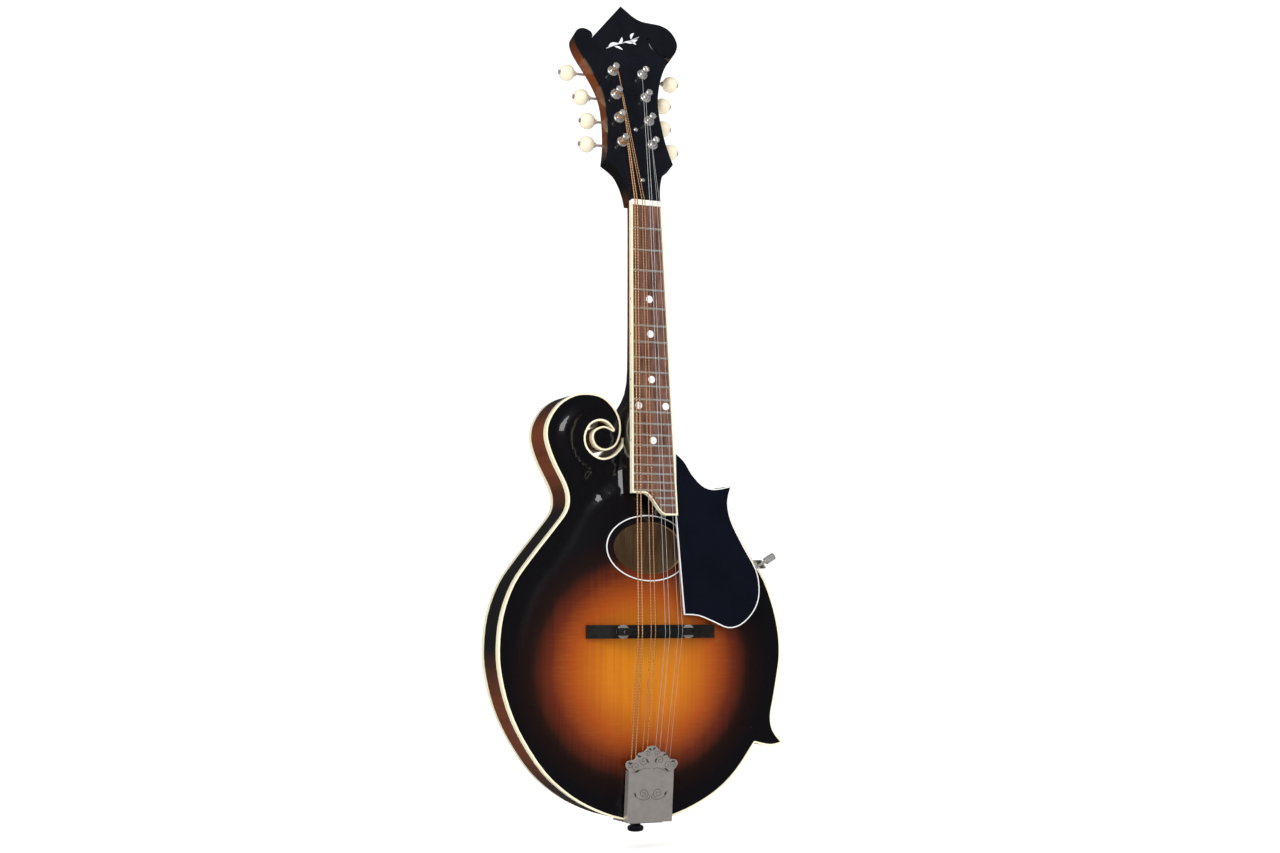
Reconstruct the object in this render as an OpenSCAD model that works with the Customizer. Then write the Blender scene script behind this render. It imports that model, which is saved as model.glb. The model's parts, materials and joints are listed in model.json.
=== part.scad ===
// Carved-top mandolin with scroll body and oval sound hole, built as separate sub-parts.
// Millimetres. Finished frame: +Z up along the neck, the playing face looks to -Y, treble side +X.
// The sub-parts are drawn lying on their backs: x across, y along the neck (0 at the nut),
// z out of the face with 0 at the top edge of the sides. row() stands them up.

/* [Scale and neck] */
// nut to the middle of the bridge
scale_length = 352.4; // [340:0.2:360]
// number of frets
fret_count = 22; // [18:1:24]
// width of the board at the nut
nut_width = 28; // [26:0.5:34]
// growth in width per millimetre of length
board_taper = 0.05; // [0.03:0.005:0.08]
// thickness of the fingerboard
board_thick = 5; // [4:0.5:7]
// height of the board's surface over the sides, at the nut
nut_height = 7.3; // [-4:0.1:12]
// backward pitch of the neck in degrees
neck_angle = 3.4; // [0:0.1:7]
// further pitch of the headstock in degrees
head_angle = 14; // [8:0.5:18]
// thickness of the headstock with its overlay
head_thick = 14; // [12:0.5:18]

/* [Body] */
// widest part of the body
body_width = 256; // [230:1:280]
// depth of the sides with both plates
rim_depth = 41; // [34:0.5:50]
// thickness of the carved plates
plate_thick = 4; // [3:0.1:6]
// rise of the front arch
top_arch = 14; // [8:0.5:18]
// rise of the back arch
back_arch = 12; // [6:0.5:16]
// thickness of the bent sides
rib_thick = 2.4; // [2:0.1:4]
// thickness of the edge binding
bind_thick = 1.6; // [1:0.1:2.5]
// height of the edge binding
bind_high = 6; // [3:0.5:8]
// half length of the oval sound hole across the body
hole_half_x = 31; // [20:0.5:36]
// half length of the oval sound hole along the body
hole_half_y = 21.5; // [14:0.5:30]
// distance of the hole's middle from the nut
hole_y = 288; // [270:1:300]

/* [Bridge and strings] */
// distance of the bridge's middle from the nut
bridge_y = 356.5; // [345:0.5:365]
// half length of the bridge foot
foot_half = 57; // [45:1:65]
// height of the strings over the sides, at the bridge
string_height = 32.4; // [26:0.1:38]
// distance of each thumbwheel from the middle
wheel_x = 29; // [22:0.5:34]
// strings at the nut, bass to treble
nut_xs = [-11.4, -9.2, -4.6, -2.4, 2.4, 4.6, 9.2, 11.4];
// strings at the saddle
saddle_xs = [-19.5, -16, -8.2, -4.4, 4.4, 8.2, 16, 19.5];
// strings at the tailpiece
tail_xs = [-16.5, -13, -7.2, -3.6, 3.6, 7.2, 13, 16.5];
// string thicknesses
gauges = [1.0, 1.0, 0.66, 0.66, 0.38, 0.38, 0.28, 0.28];

/* [Tuners] */
// distance of the string posts from the middle
post_x = 14; // [12:0.5:18]
// distance of the lowest posts from the nut
post_y = 56.5; // [50:0.5:65]
// spacing of the posts
post_step = 23.5; // [22:0.1:25]
// teeth on each cog
cog_teeth = 15; // [12:1:18]
// pitch radius of the cog
cog_radius = 4; // [3:0.1:5]
// pitch radius of the worm
worm_radius = 1.6; // [1.3:0.1:2.2]
// distance of the buttons from the middle, lowest post first
button_xs = [39, 35.5, 38.5, 49];
// radius of the buttons
button_radius = 7; // [5:0.1:9]

/* [Tailpiece and trim] */
// half width of the tailpiece cover
cover_half = 20; // [16:0.5:24]
// height of the pickguard's top over the sides
guard_high = 17.6; // [12:0.2:20]
// thickness of the pickguard
guard_thick = 1.6; // [1:0.1:3]
// radius of the end pin's head
pin_radius = 6.7; // [5:0.1:8]

/* [Hidden] */
$fn = 40;
bx = body_width / 256;
hang = [0, 1, -11.3];         // the hanger's place on the back of the neck
body_end = -511;              // tail end of the sides
joint_y = -196;               // where the neck meets the body
mid = [0, -365];              // middle of the arches
cog_pitch = 2 * PI * cog_radius / cog_teeth;
gear_gap = cog_radius + worm_radius;
worm_depth = head_thick + 4.4;
lead_angle = atan(cog_pitch / (2 * PI * worm_radius));

// ---- curves ----
function bend(a, b, c, d, t) = 0.5 * (2 * b + (c - a) * t
    + (2 * a - 5 * b + 4 * c - d) * t * t + (3 * b - a - 3 * c + d) * t * t * t);
function curve(p, n) = [for (i = [0:len(p) - 2]) for (k = [0:n - 1])
    bend(p[max(i - 1, 0)], p[i], p[i + 1], p[min(i + 2, len(p) - 1)], k / n)];
function wide(p) = [for (q = p) [q[0] * bx, q[1]]];
function mirrored(p) = [for (i = [len(p) - 1:-1:0]) [-p[i][0], p[i][1]]];
function oval(c, a, b, n) = [for (i = [0:n - 1]) c + [a * cos(i * 360 / n), b * sin(i * 360 / n)]];

// body outline: horn, treble side down to the lower point, notch, then round the tail and
// up the bass side, round the scroll and its button, and back along the slot to the neck
horn = [[18, -196], [28, -206], [36, -215], [44, -226], [54, -234], [64, -237], [73, -236.5],
    [81, -234]];
treble_side = [[81, -234], [78.5, -242], [78, -250], [79.5, -259], [86, -273], [100, -296], [112, -314],
    [121, -338], [125.5, -360], [126, -378], [124, -392], [120, -413], [117, -428], [119, -440], [128, -451]];
point_foot = [[128, -451], [116, -453.5], [101, -450.5]];
bass_side = [[101, -450.5], [84, -473], [66, -489], [44, -501], [22, -508.5], [0, -511], [-22, -508.5],
    [-44, -501], [-66, -489], [-88, -470], [-107, -443], [-119, -418], [-126, -392], [-128, -370],
    [-125, -343], [-115.5, -317.5], [-101, -297], [-80.5, -272], [-70, -258], [-68, -247], [-71, -236],
    [-79, -221], [-85, -207], [-87.5, -195], [-85, -183], [-76, -170], [-63, -162], [-50, -160],
    [-37, -162.5], [-27, -171], [-21.5, -182], [-21.5, -194], [-26, -203.5], [-35.5, -207.5],
    [-44, -204], [-47, -196], [-44, -190], [-36, -187], [-28, -190]];
slot_edge = [[-28, -190], [-33, -184.5], [-40, -182.8], [-48, -186.5], [-52.5, -196], [-50.5, -205.5],
    [-43, -212], [-35, -213.5], [-26, -209.5], [-19, -201], [-18.2, -196]];
body_line = wide(concat(curve(horn, 3), curve(treble_side, 3), curve(point_foot, 3),
    curve(bass_side, 3), curve(slot_edge, 3), [[-18.2, -196]]));

module body_2d(inset = 0)
    if (inset == 0) polygon(body_line);
    else offset(r = -inset, $fn = 12) polygon(body_line);

// reach of the arch from its middle, every 22.5 degrees, and its rise at any place
arch_reach = [115, 113, 115, 130, 150, 133, 112, 115, 118, 120.5, 126, 131, 136, 131, 124, 117];
function reach(a) = let (u = a / 22.5, i = floor(u)) bx * bend(arch_reach[(i + 15) % 16],
    arch_reach[i % 16], arch_reach[(i + 1) % 16], arch_reach[(i + 2) % 16], u - i);
function swell(t) = pow(max(1 - pow(min(t, 1), 2.4), 0), 1.35);
function rise(x, y) = let (d = [x, y] - mid) swell(norm(d) / reach((atan2(d[1], d[0]) + 360) % 360));
function arch_ring(t, out, z, n) = [for (i = [0:n - 1])
    let (a = 360 - i * 360 / n, r = t * reach(a % 360) + out)
    [mid[0] + r * cos(a), mid[1] + r * sin(a), z]];

// ---- solids from rings of points ----
function skin(m, n, j) = [for (i = [0:n - 1]) let (a = j * n + i, b = j * n + (i + 1) % n,
    c = ((j + 1) % m) * n + (i + 1) % n, d = ((j + 1) % m) * n + i) each [[a, d, c], [a, c, b]]];
module loft(rings) {
    m = len(rings);
    n = len(rings[0]);
    polyhedron([for (r = rings) each r], concat([[for (i = [0:n - 1]) i]],
        [for (j = [0:m - 2]) each skin(m, n, j)], [[for (i = [n - 1:-1:0]) (m - 1) * n + i]]));
}
module hoop(rings) {
    m = len(rings);
    n = len(rings[0]);
    polyhedron([for (r = rings) each r], [for (j = [0:m - 1]) each skin(m, n, j)]);
}
module rod(p, q, d, n = 40, more = 0) {
    v = q - p;
    translate(p) rotate([0, acos(v[2] / norm(v)), atan2(v[1], v[0])])
        cylinder(h = norm(v) + more, d = d, $fn = n);
}
module ring(r, d) rotate_extrude() translate([r, 0]) circle(d = d);

// ---- frames ----
module row() rotate([90, 0, 0]) translate(-hang) children();
module on_neck() translate([0, 0, nut_height]) rotate([-neck_angle, 0, 0]) children();
module on_head() on_neck() translate([0, 4.5, -2.5]) rotate([-head_angle, 0, 0]) children();
function from_neck(p) = [p[0], p[1] * cos(neck_angle) + p[2] * sin(neck_angle),
    nut_height - p[1] * sin(neck_angle) + p[2] * cos(neck_angle)];
function from_head(p) = let (y = p[1] * cos(head_angle) + p[2] * sin(head_angle),
    z = p[2] * cos(head_angle) - p[1] * sin(head_angle)) from_neck([p[0], y + 4.5, z - 2.5]);

// ---- body ----
module plate(arch) {
    steps = [0.1, 0.26, 0.42, 0.56, 0.68, 0.78, 0.86, 0.93, 1];
    difference() {
        union() {
            translate([0, 0, -plate_thick]) linear_extrude(plate_thick) difference() {
                body_2d(bind_thick);
                polygon([for (p = arch_ring(1, 0.5, 0, 68)) [p[0], p[1]]]);
            }
            loft(concat([for (t = steps) arch_ring(t, 0, arch * swell(t), 60)],
                [arch_ring(1, 2, -0.8, 60), arch_ring(1, 2, 0.8 - plate_thick, 60)],
                [for (i = [len(steps) - 1:-1:0])
                    arch_ring(steps[i], 0, arch * swell(steps[i]) - plate_thick, 60)]));
        }
        children();
    }
}

module soundboard() color([0.72, 0.36, 0.08]) row()
    plate(top_arch) translate([0, 0, -10]) linear_extrude(40)
        polygon(oval([0, -hole_y], hole_half_x, hole_half_y, 56));

module back_plate() color([0.45, 0.2, 0.08]) row()
    translate([0, 0, -rim_depth]) mirror([0, 0, 1]) plate(back_arch);

module rim_band(a, b, low, high)
    translate([0, 0, low]) linear_extrude(high - low) difference() {
        body_2d(a);
        body_2d(b);
    }

module tail_bores(pin, screw) {
    translate([0, -490, -rim_depth / 2]) rotate([90, 0, 0]) cylinder(h = 40, d = pin);
    for (p = tail_holes) translate([p[0], -490, p[1]]) rotate([90, 0, 0]) cylinder(h = 40, d = screw);
}

module ribs() color([0.35, 0.14, 0.06]) row() difference() {
    union() {
        rim_band(0, rib_thick, bind_high - rim_depth, -bind_high);
        rim_band(bind_thick, rib_thick, plate_thick - rim_depth, -plate_thick);
    }
    translate([-8, -200, -rim_depth + 4.8]) cube([16, 5, rim_depth - 10]);
    tail_bores(7.6, 2.2);
}

module body_binding() color([0.93, 0.88, 0.7]) row() {
    rim_band(0, bind_thick, -bind_high, 0);
    rim_band(0, bind_thick, -rim_depth, bind_high - rim_depth);
}

head_area = [[-95, -150], [-95, -214], [-72, -226], [-40, -238], [34, -238], [34, -205], [30, -150]];
tail_area = [[-28, -496], [28, -496], [28, -520], [-28, -520]];

module linings() color([0.8, 0.62, 0.4]) row()
    for (z = [-plate_thick - 6, plate_thick - rim_depth]) translate([0, 0, z]) linear_extrude(6)
    difference() {
        body_2d(rib_thick);
        body_2d(rib_thick + 5);
        polygon(wide(head_area));
        polygon(tail_area);
    }

module block(area) translate([0, 0, plate_thick - rim_depth]) linear_extrude(rim_depth - 2 * plate_thick)
    intersection() {
        body_2d(rib_thick);
        polygon(area);
    }

module head_block() color([0.8, 0.62, 0.4]) row() difference() {
    block(wide(head_area));
    translate([-8, -216, -rim_depth]) cube([16, 30, rim_depth + 2]);
}

module tail_block() color([0.8, 0.62, 0.4]) row() difference() {
    block(tail_area);
    tail_bores(7.6, 2.2);
}

module tone_bar() color([0.85, 0.7, 0.48]) row()
    loft([for (i = [0:12]) let (x = 84 - i * 14, high = 3 + 6 * cos(x) * cos(x),
        top = top_arch * min(rise(x, -320), rise(x, -314)) - plate_thick - 0.15)
        [[x, -314, top - high], [x, -314, top], [x, -320, top], [x, -320, top - high]]]);

module rosette() color([0.85, 0.86, 0.85]) row()
    hoop([for (i = [0:71]) let (a = i * 5)
        [for (c = [[-0.45, 0.02], [0.45, 0.02], [0.45, 0.5], [-0.45, 0.5]])
            let (x = (37 + c[0]) * cos(a), y = (27 + c[0]) * sin(a) - hole_y)
            [x, y, top_arch * rise(x, y) + c[1]]]]);

// ---- neck ----
function half_board(y) = (nut_width - y * board_taper) / 2;
function fret_y(n) = -scale_length * (1 - pow(2, -n / 12));
function board_end(x) = -252.7 + 9 * cos(180 * min(max((x + 9) / 19, 0), 1));
function board_line(inset) = concat(
    [[inset - half_board(0), -0.01], [inset - half_board(-243), board_end(-20) + inset]],
    [for (i = [0:12]) let (x = -9.5 + i * 20 / 12) [x, board_end(x) + inset]],
    [[half_board(-261) - inset, board_end(20) + inset], [half_board(0) - inset, -0.01]]);

// depth of the neck under the board, as [y, depth, squareness]
neck_stations = [[3, 13.5, 0.9], [-12, 13.5, 0.95], [-60, 14.5, 0.95], [-110, 16, 0.9], [-138, 17.5, 0.85],
    [-150, 21, 0.8], [-158, 28, 0.75], [-164, 38, 0.65], [-169, 50, 0.55], [-172, 54.2, 0.5],
    [joint_y - 0.05, 55.6, 0.45]];

module neck_shaft() on_neck() loft([for (s = neck_stations) let (w = half_board(s[0]))
    [for (i = [0:14]) let (a = 180 + i * 180 / 14, c = cos(a))
        [w * sign(c) * pow(abs(c), s[2]), s[0], -board_thick - s[1] * pow(abs(sin(a)), 0.8)]]]);

// raised tongue that carries the board over the soundboard
module tongue() {
    loft([for (s = [[-191, 0.2, 0], [-205, 0.2, 0], [-213, 0.3, 3], [-225, 1.6, 5], [-243.4, 4.8, 5]])
        let (w = half_board(s[0]) - 0.2, top = from_neck([0, s[0], -board_thick - 0.03])[2],
            low = s[1], f = s[2], half = (top + low) / 2)
        [[w, s[0], top], [-w, s[0], top], [-w - f * 0.12, s[0], half], [-w - f * 0.4, s[0], low + 2],
            [-w - f, s[0], low], [w + f, s[0], low], [w + f * 0.4, s[0], low + 2],
            [w + f * 0.12, s[0], half]]]);
    on_neck() translate([0, 0, -board_thick - 8.5]) linear_extrude(8.45) polygon(concat([[-19.6, -238]],
        [for (i = [0:12]) let (x = -9.5 + i * 20 / 12) [x, board_end(x)]], [[19.6, -261.5], [19.6, -238]]));
}

// headstock outline: lower tip, waist, scrolled ear, peak, straight shoulder, curl, back down
lower_side = [[14.2, 0], [14.6, 8], [17, 20], [21.5, 30], [31, 38.5]];
ear = [[31, 38.5], [28, 52], [26, 66], [24.8, 82], [24.8, 96], [26.6, 108], [30.5, 122], [36, 135],
    [43, 146]];
ear_top = [[38.5, 147.5], [45, 149], [50, 155], [52.5, 163], [50.5, 171.5], [45.5, 178], [38, 181.3],
    [29, 182], [20, 183], [13, 186.7], [7.5, 191.6], [2.4, 196.3]];
curl = [[-31, 157.5], [-28.4, 161.5], [-30, 166], [-36, 168.3], [-42, 166], [-45.4, 160], [-44.6, 151],
    [-39.5, 139], [-33.5, 127], [-28, 113], [-25, 99], [-24.8, 82], [-26, 66], [-28, 52], [-31, 38.5]];
head_line = concat(curve(lower_side, 3), curve(ear, 3), curve(ear_top, 3), [[2.4, 196.3]], curve(curl, 3),
    [[-31, 38.5]], mirrored(curve(lower_side, 3)));
posts = [for (k = [0:7]) [(k < 4 ? -1 : 1) * post_x, post_y + (k % 4) * post_step]];

module head_slab(low, high) translate([0, 0, low]) linear_extrude(high - low) polygon(head_line);
module truss_pocket() on_neck() translate([-4.5, 4.6, -14]) cube([9, 17, 20]);

module neck() color([0.42, 0.16, 0.05]) row() difference() {
    union() {
        difference() {
            neck_shaft();
            translate([-30, joint_y - 10, -60]) cube([60, 10, 60.2]);
        }
        on_head() head_slab(-head_thick, -2);
        tongue();
        translate([-7.9, -215, 6.1 - rim_depth]) cube([15.8, 20, rim_depth - 12.2]);
    }
    on_head() for (p = posts) translate([p[0], p[1], -head_thick - 1]) {
        cylinder(h = head_thick, d = 7.2);
        translate([0, 0, 5]) cylinder(h = head_thick, d = 8.2);
    }
    truss_pocket();
    on_neck() translate([0, 8, -9.2]) rotate([90, 0, 0]) cylinder(h = 176, d = 5);
    on_neck() translate([-40, -0.01, -board_thick]) cube([80, 4.52, 30]);
    on_head() for (y = [20, 69.5]) translate([0, y, -9]) cylinder(h = 10, d = 1.8);
    on_head() for (s = [-1, 1]) for (p = plate_holes) translate([s * p[0], p[1], -head_thick - 1])
        cylinder(h = 6, d = 1.8);
}

module headstock_overlay() color([0.04, 0.04, 0.05]) row() difference() {
    on_head() head_slab(-2, 0);
    on_head() for (p = posts) translate([p[0], p[1], -3]) cylinder(h = 6, d = 8.2);
    truss_pocket();
    on_neck() translate([-40, -10, -30]) cube([80, 14.51, 60]);
    on_head() for (y = [20, 69.5]) translate([0, y, -9]) cylinder(h = 10, d = 1.8);
}

module truss_rod() color([0.5, 0.5, 0.52]) row()
    on_neck() translate([0, 17, -9.2]) rotate([90, 0, 0]) cylinder(h = 184, d = 4.6);

module truss_rod_nut() color([0.7, 0.6, 0.3]) row() on_neck()
    translate([0, 16, -9.2]) rotate([90, 0, 0]) difference() {
        cylinder(h = 7, r = 3.9, $fn = 6);
        translate([0, 0, -1]) cylinder(h = 9, d = 4.7);
    }

module truss_rod_cover() color([0.05, 0.05, 0.06]) row() on_head() difference() {
    side = curve([[8.6, 1.2], [8.2, 9], [6.6, 20], [6, 34], [7, 47], [8.2, 56], [6.5, 66], [0, 76]], 4);
    linear_extrude(1.8) polygon(concat(side, [[0, 76]], mirrored(side)));
    for (y = [20, 69.5]) translate([0, y, -1]) cylinder(h = 4, d = 2.2);
    for (y = [20, 69.5]) translate([0, y, 0.9]) cylinder(h = 2, d = 4.2);
}

// ---- fingerboard ----
module board_2d(inset) polygon(board_line(inset));

module fingerboard() color([0.3, 0.16, 0.1]) row() on_neck() difference() {
    translate([0, 0, -board_thick]) linear_extrude(board_thick) board_2d(1.5);
    for (n = [1:fret_count]) translate([-30, fret_y(n) - 0.3, -2.2]) cube([60, 0.6, 3]);
    for (p = dots) translate([p[0], p[1], -1.2]) cylinder(h = 2, r = 3.1);
}

module fingerboard_binding() color([0.93, 0.88, 0.7]) row() on_neck() difference() {
    translate([0, 0, -board_thick]) linear_extrude(board_thick) difference() {
        board_2d(0);
        board_2d(1.5);
    }
    translate([-11, -1, -board_thick - 1]) cube([22, 2, board_thick + 2]);
}

module frets() color([0.75, 0.73, 0.66]) row() on_neck() for (n = [1:fret_count]) {
    y = fret_y(n);
    right = half_board(y) - 1.7;
    left = n > 20 ? -9 + 19 * acos((y + 250.2) / 9) / 180 + 1 : -right;
    translate([left, y - 0.28, -2]) cube([right - left, 0.56, 2.05]);
    translate([left, y, 0]) rotate([0, 90, 0]) intersection() {
        cylinder(h = right - left, r = 0.95);
        translate([-2, -2, 0]) cube([2, 4, right - left]);
    }
}

dots = concat([for (n = [5, 7, 10, 15]) [0, (fret_y(n) + fret_y(n - 1)) / 2]],
    [for (s = [-1, 1]) [s * 12.2, (fret_y(12) + fret_y(11)) / 2]]);
module position_dots() color([0.92, 0.93, 0.95]) row() on_neck()
    for (p = dots) translate([p[0], p[1], -1.2]) cylinder(h = 1.22, r = 3.1);

// ---- strings ----
wrap_high = [4.4, 6.6, 6.2, 5.6];
function post_of(k) = k < 4 ? [0, 1, 2, 3][k] : [7, 6, 5, 4][k - 4];
function nut_point(k) = from_neck([nut_xs[k], 0.2, 1.15 + gauges[k] / 2]);
function saddle_point(k) = [saddle_xs[k], saddle_line(saddle_xs[k]) - 1.2,
    string_height + 0.3 - gauges[k] / 2];
function tail_point(k) = [tail_xs[k], k % 2 == 0 ? -476 : -482, k % 2 == 0 ? 7.4 : 6.8];
function post_point(k) = let (p = posts[post_of(k)], s = sign(p[0]))
    from_head([p[0] - s * (2.24 + gauges[k] / 2), p[1], wrap_high[post_of(k) % 4]]);
// compensated line of the saddle
function saddle_line(x) = -bridge_y + (x < -12 ? -1.2 : x < -2 ? 0.8 : x < 12 ? -0.2 : 1.4);

// four straight runs: saddle to nut, across the nut, nut to post, saddle to tailpiece
module one_string(k) {
    d = gauges[k];
    behind = from_neck([nut_xs[k], 4.2, 0.95 + gauges[k] / 2]);
    rod(saddle_point(k), nut_point(k), d, 10, d / 3);
    rod(nut_point(k), behind, d, 10, d / 6);
    rod(behind, post_point(k), d, 10);
    rod(tail_point(k), saddle_point(k), d, 10, d / 6);
    translate(tail_point(k)) rotate([90, 0, 0]) cylinder(h = 3, d = 2.4, $fn = 12);
}
module wound_strings() color([0.78, 0.5, 0.3]) row() for (k = [0:3]) one_string(k);
module plain_strings() color([0.75, 0.76, 0.78]) row() for (k = [4:7]) one_string(k);

module nut() color([0.95, 0.93, 0.86]) row() on_neck() difference() {
    translate([-half_board(0), 0.02, -board_thick]) cube([nut_width, 4.44, board_thick + 2]);
    for (k = [0:7]) translate([nut_xs[k] - gauges[k] / 2 - 0.12, -1, 0.85]) cube([gauges[k] + 0.24, 7, 3]);
}

// ---- bridge ----
foot_top = string_height - 11.4;
module bridge_base() color([0.06, 0.06, 0.06]) row() difference() {
    translate([0, 5.5 - bridge_y, 0]) rotate([90, 0, 0]) linear_extrude(11) polygon(concat(
        [for (i = [-12:12]) let (x = i * foot_half / 12) [x, top_arch * rise(x, -bridge_y) + 0.1]],
        [[foot_half, foot_top - 6.4], [47, foot_top - 4.6], [40, foot_top - 0.8], [36, foot_top],
            [-36, foot_top], [-40, foot_top - 0.8], [-47, foot_top - 4.6], [-foot_half, foot_top - 6.4]]));
    for (s = [-1, 1]) translate([s * wheel_x, -bridge_y, foot_top - 5]) cylinder(h = 6, d = 4);
    translate([0, 8 - bridge_y, top_arch - 2]) rotate([90, 0, 0]) cylinder(h = 16, r = 4.6);
}

module bridge_saddle() color([0.06, 0.06, 0.06]) row() difference() {
    union() {
        translate([0, 3 - bridge_y, 0]) rotate([90, 0, 0]) linear_extrude(6) polygon([[-35, foot_top + 3],
            [-22, foot_top + 3], [-18, foot_top + 4.4], [18, foot_top + 4.4], [22, foot_top + 3],
            [35, foot_top + 3], [35, foot_top + 7], [30, foot_top + 8.4], [23, foot_top + 9.4],
            [-23, foot_top + 9.4], [-30, foot_top + 8.4], [-35, foot_top + 7]]);
        for (b = [[-23, -12], [-12, -2], [-2, 12], [12, 23]])
            translate([b[0], saddle_line(b[0] + 1) - 1.3, foot_top + 9])
                cube([b[1] - b[0], 2.6, string_height - foot_top - 9]);
    }
    for (s = [-1, 1]) translate([s * wheel_x, -bridge_y, foot_top + 2]) cylinder(h = 6.4, d = 4.16);
    for (k = [0:7]) translate([saddle_xs[k] - gauges[k] / 2 - 0.12, -bridge_y - 5,
        string_height + 0.08 - gauges[k]]) cube([gauges[k] + 0.24, 10, 3]);
}

module wheel(s) row() translate([s * wheel_x, -bridge_y, foot_top + 1]) difference() {
    cylinder(h = 2, r = 5.6);
    translate([0, 0, -1]) cylinder(h = 4, d = 4.06);
    for (a = [0:20:340]) rotate(a) translate([5.85, 0, -1]) cylinder(h = 4, r = 0.5);
}
module thumbwheel_bass() color([0.8, 0.8, 0.78]) wheel(-1);
module thumbwheel_treble() color([0.8, 0.8, 0.78]) wheel(1);
module bridge_posts() color([0.7, 0.7, 0.68]) row()
    for (s = [-1, 1]) translate([s * wheel_x, -bridge_y, foot_top - 5]) cylinder(h = 12, d = 4);

// ---- tailpiece ----
tail_holes = [[-9, -9], [9, -9], [0, -31]];
cover_tilt = 6.2;             // slope of the tailpiece base and its cover
module on_cover() translate([0, -450, 15.3]) rotate([cover_tilt, 0, 0]) children();

module tailpiece_base() color([0.72, 0.72, 0.7]) row() difference() {
    union() {
        translate([-14, body_end - 1.3, -36]) cube([28, 1.2, 39.2]);
        translate([-14, body_end - 1.3, 2]) cube([28, 4, 1.2]);
        translate([-cover_half + 2, body_end + 2, 1.2]) rotate([cover_tilt, 0, 0])
            cube([2 * cover_half - 4, 42, 1.2]);
        for (k = [0:7]) translate(tail_point(k) - [0, 4.4, 3.6])
            rotate([20, 0, 0]) cylinder(h = 5.4, r = 0.75);
    }
    tail_bores(8.4, 2.6);
}

// scalloped end, straight sides, open tail end with a shallow lip
cover_edge = [[0, 1], [3.6, 0.2], [6, -2.6], [8.6, -4.2], [11.4, -4.6], [14, -7.4], [15.4, -9.6],
    [18, -10.4], [21.6, -11], [23.2, -14], [22, -17], [20, -19]];
cover_line = concat(curve(cover_edge, 3), [[cover_half, -19], [cover_half, -61.5],
    [-cover_half, -61.5], [-cover_half, -19]], mirrored(curve(cover_edge, 3)));
module tailpiece_cover() color([0.74, 0.73, 0.71]) row() on_cover() {
    translate([0, 0, -1]) linear_extrude(1) polygon(cover_line);
    for (s = [-1, 1]) translate([s * (cover_half - 0.4) - 0.4, -61.5, -7.2]) cube([0.8, 42, 6.7]);
    translate([-cover_half, -61.5, -2.6]) cube([2 * cover_half, 0.8, 2]);
}

module tailpiece_screws() color([0.75, 0.75, 0.73]) row()
    for (p = tail_holes) translate([p[0], body_end - 1.3, p[1]]) rotate([90, 0, 0]) {
        translate([0, 0, -12]) cylinder(h = 12.5, d = 2);
        cylinder(h = 1.2, r1 = 2.4, r2 = 1.6);
    }

module end_pin() color([0.04, 0.04, 0.04]) row() translate([0, body_end, -rim_depth / 2]) rotate([90, 0, 0])
    rotate_extrude() polygon([[0, -16], [3.4, -16], [3.7, 1.5], [5.2, 1.8], [5.2, 2.6], [4.2, 4.2],
        [pin_radius, 5.4], [pin_radius, 8.4], [5.4, 9.7], [3, 10.2], [0, 10.4]]);

// ---- pickguard ----
guard_edge = [[28, -343], [41, -343.8], [55, -349], [68, -354], [80, -351.5], [91, -342], [97, -330],
    [97.5, -316], [94, -303.5], [84, -287], [73, -267], [69.3, -254], [69.6, -245], [72.6, -235]];
guard_horn = [[72.6, -235], [64, -237.2], [54, -238.2], [45, -235], [36, -226], [29, -215.5], [20.2, -208]];
guard_line = concat([[21, -262.5]], curve(guard_edge, 3), curve(guard_horn, 3), [[20.2, -208]]);
module pickguard() color([0.03, 0.03, 0.05]) row()
    translate([0, 0, guard_high - guard_thick]) linear_extrude(guard_thick) polygon(guard_line);

module pickguard_clamp() color([0.72, 0.72, 0.7]) row() {
    translate([90, -308, 8]) cylinder(h = guard_high - guard_thick - 8, d = 5);
    rod([90, -308, 11], [107.5, -297.6, 11], 2.4);
    rod([107, -297.9, 11], [114.6, -293.4, 11], 6);
    translate([103.9, -300.4, 0]) rotate([0, 0, -56]) translate([-4, -0.6, -12]) cube([8, 1.2, 25]);
}

// ---- tuners ----
plate_holes = [for (k = [0:4]) [post_x - 5, post_y - 9 + k * (post_step)]];
module tuner_plate(s) row() on_head() difference() {
    union() {
        translate([s * post_x - 7.5, post_y - 13, -head_thick - 1.2]) cube([15, 3 * post_step + 30, 1.2]);
        for (k = [0:3]) for (e = [-1, 1])
            translate([s * post_x + e * 5.8 - 0.6, post_y + k * post_step + gear_gap - 2.4,
                -worm_depth - 2.4]) cube([1.2, 4.8, worm_depth - head_thick + 1.6]);
    }
    for (k = [0:3]) translate([s * post_x, post_y + k * post_step, -head_thick - 2])
        cylinder(h = 3, d = 6.16);
    for (k = [0:3]) translate([s * post_x - 8, post_y + k * post_step + gear_gap, -worm_depth])
        rotate([0, 90, 0]) cylinder(h = 16, d = 2.3);
    for (p = plate_holes) translate([s * p[0], p[1], -head_thick - 2]) cylinder(h = 3, d = 2);
}
module tuner_plate_bass() color([0.7, 0.7, 0.68]) tuner_plate(-1);
module tuner_plate_treble() color([0.7, 0.7, 0.68]) tuner_plate(1);

module small_screw(long) {
    translate([0, 0, -long]) cylinder(h = long, d = 1.7);
    intersection() {
        translate([0, 0, -2.4]) sphere(r = 3.2);
        cylinder(h = 1, r = 1.9);
    }
}
module tuner_screws() color([0.75, 0.75, 0.73]) row() on_head() {
    for (s = [-1, 1]) for (p = plate_holes)
        translate([s * p[0], p[1], -head_thick - 1.2]) rotate([180, 0, 0]) small_screw(5);
    for (y = [20, 69.5]) translate([0, y, 0.95]) small_screw(8);
}

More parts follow.
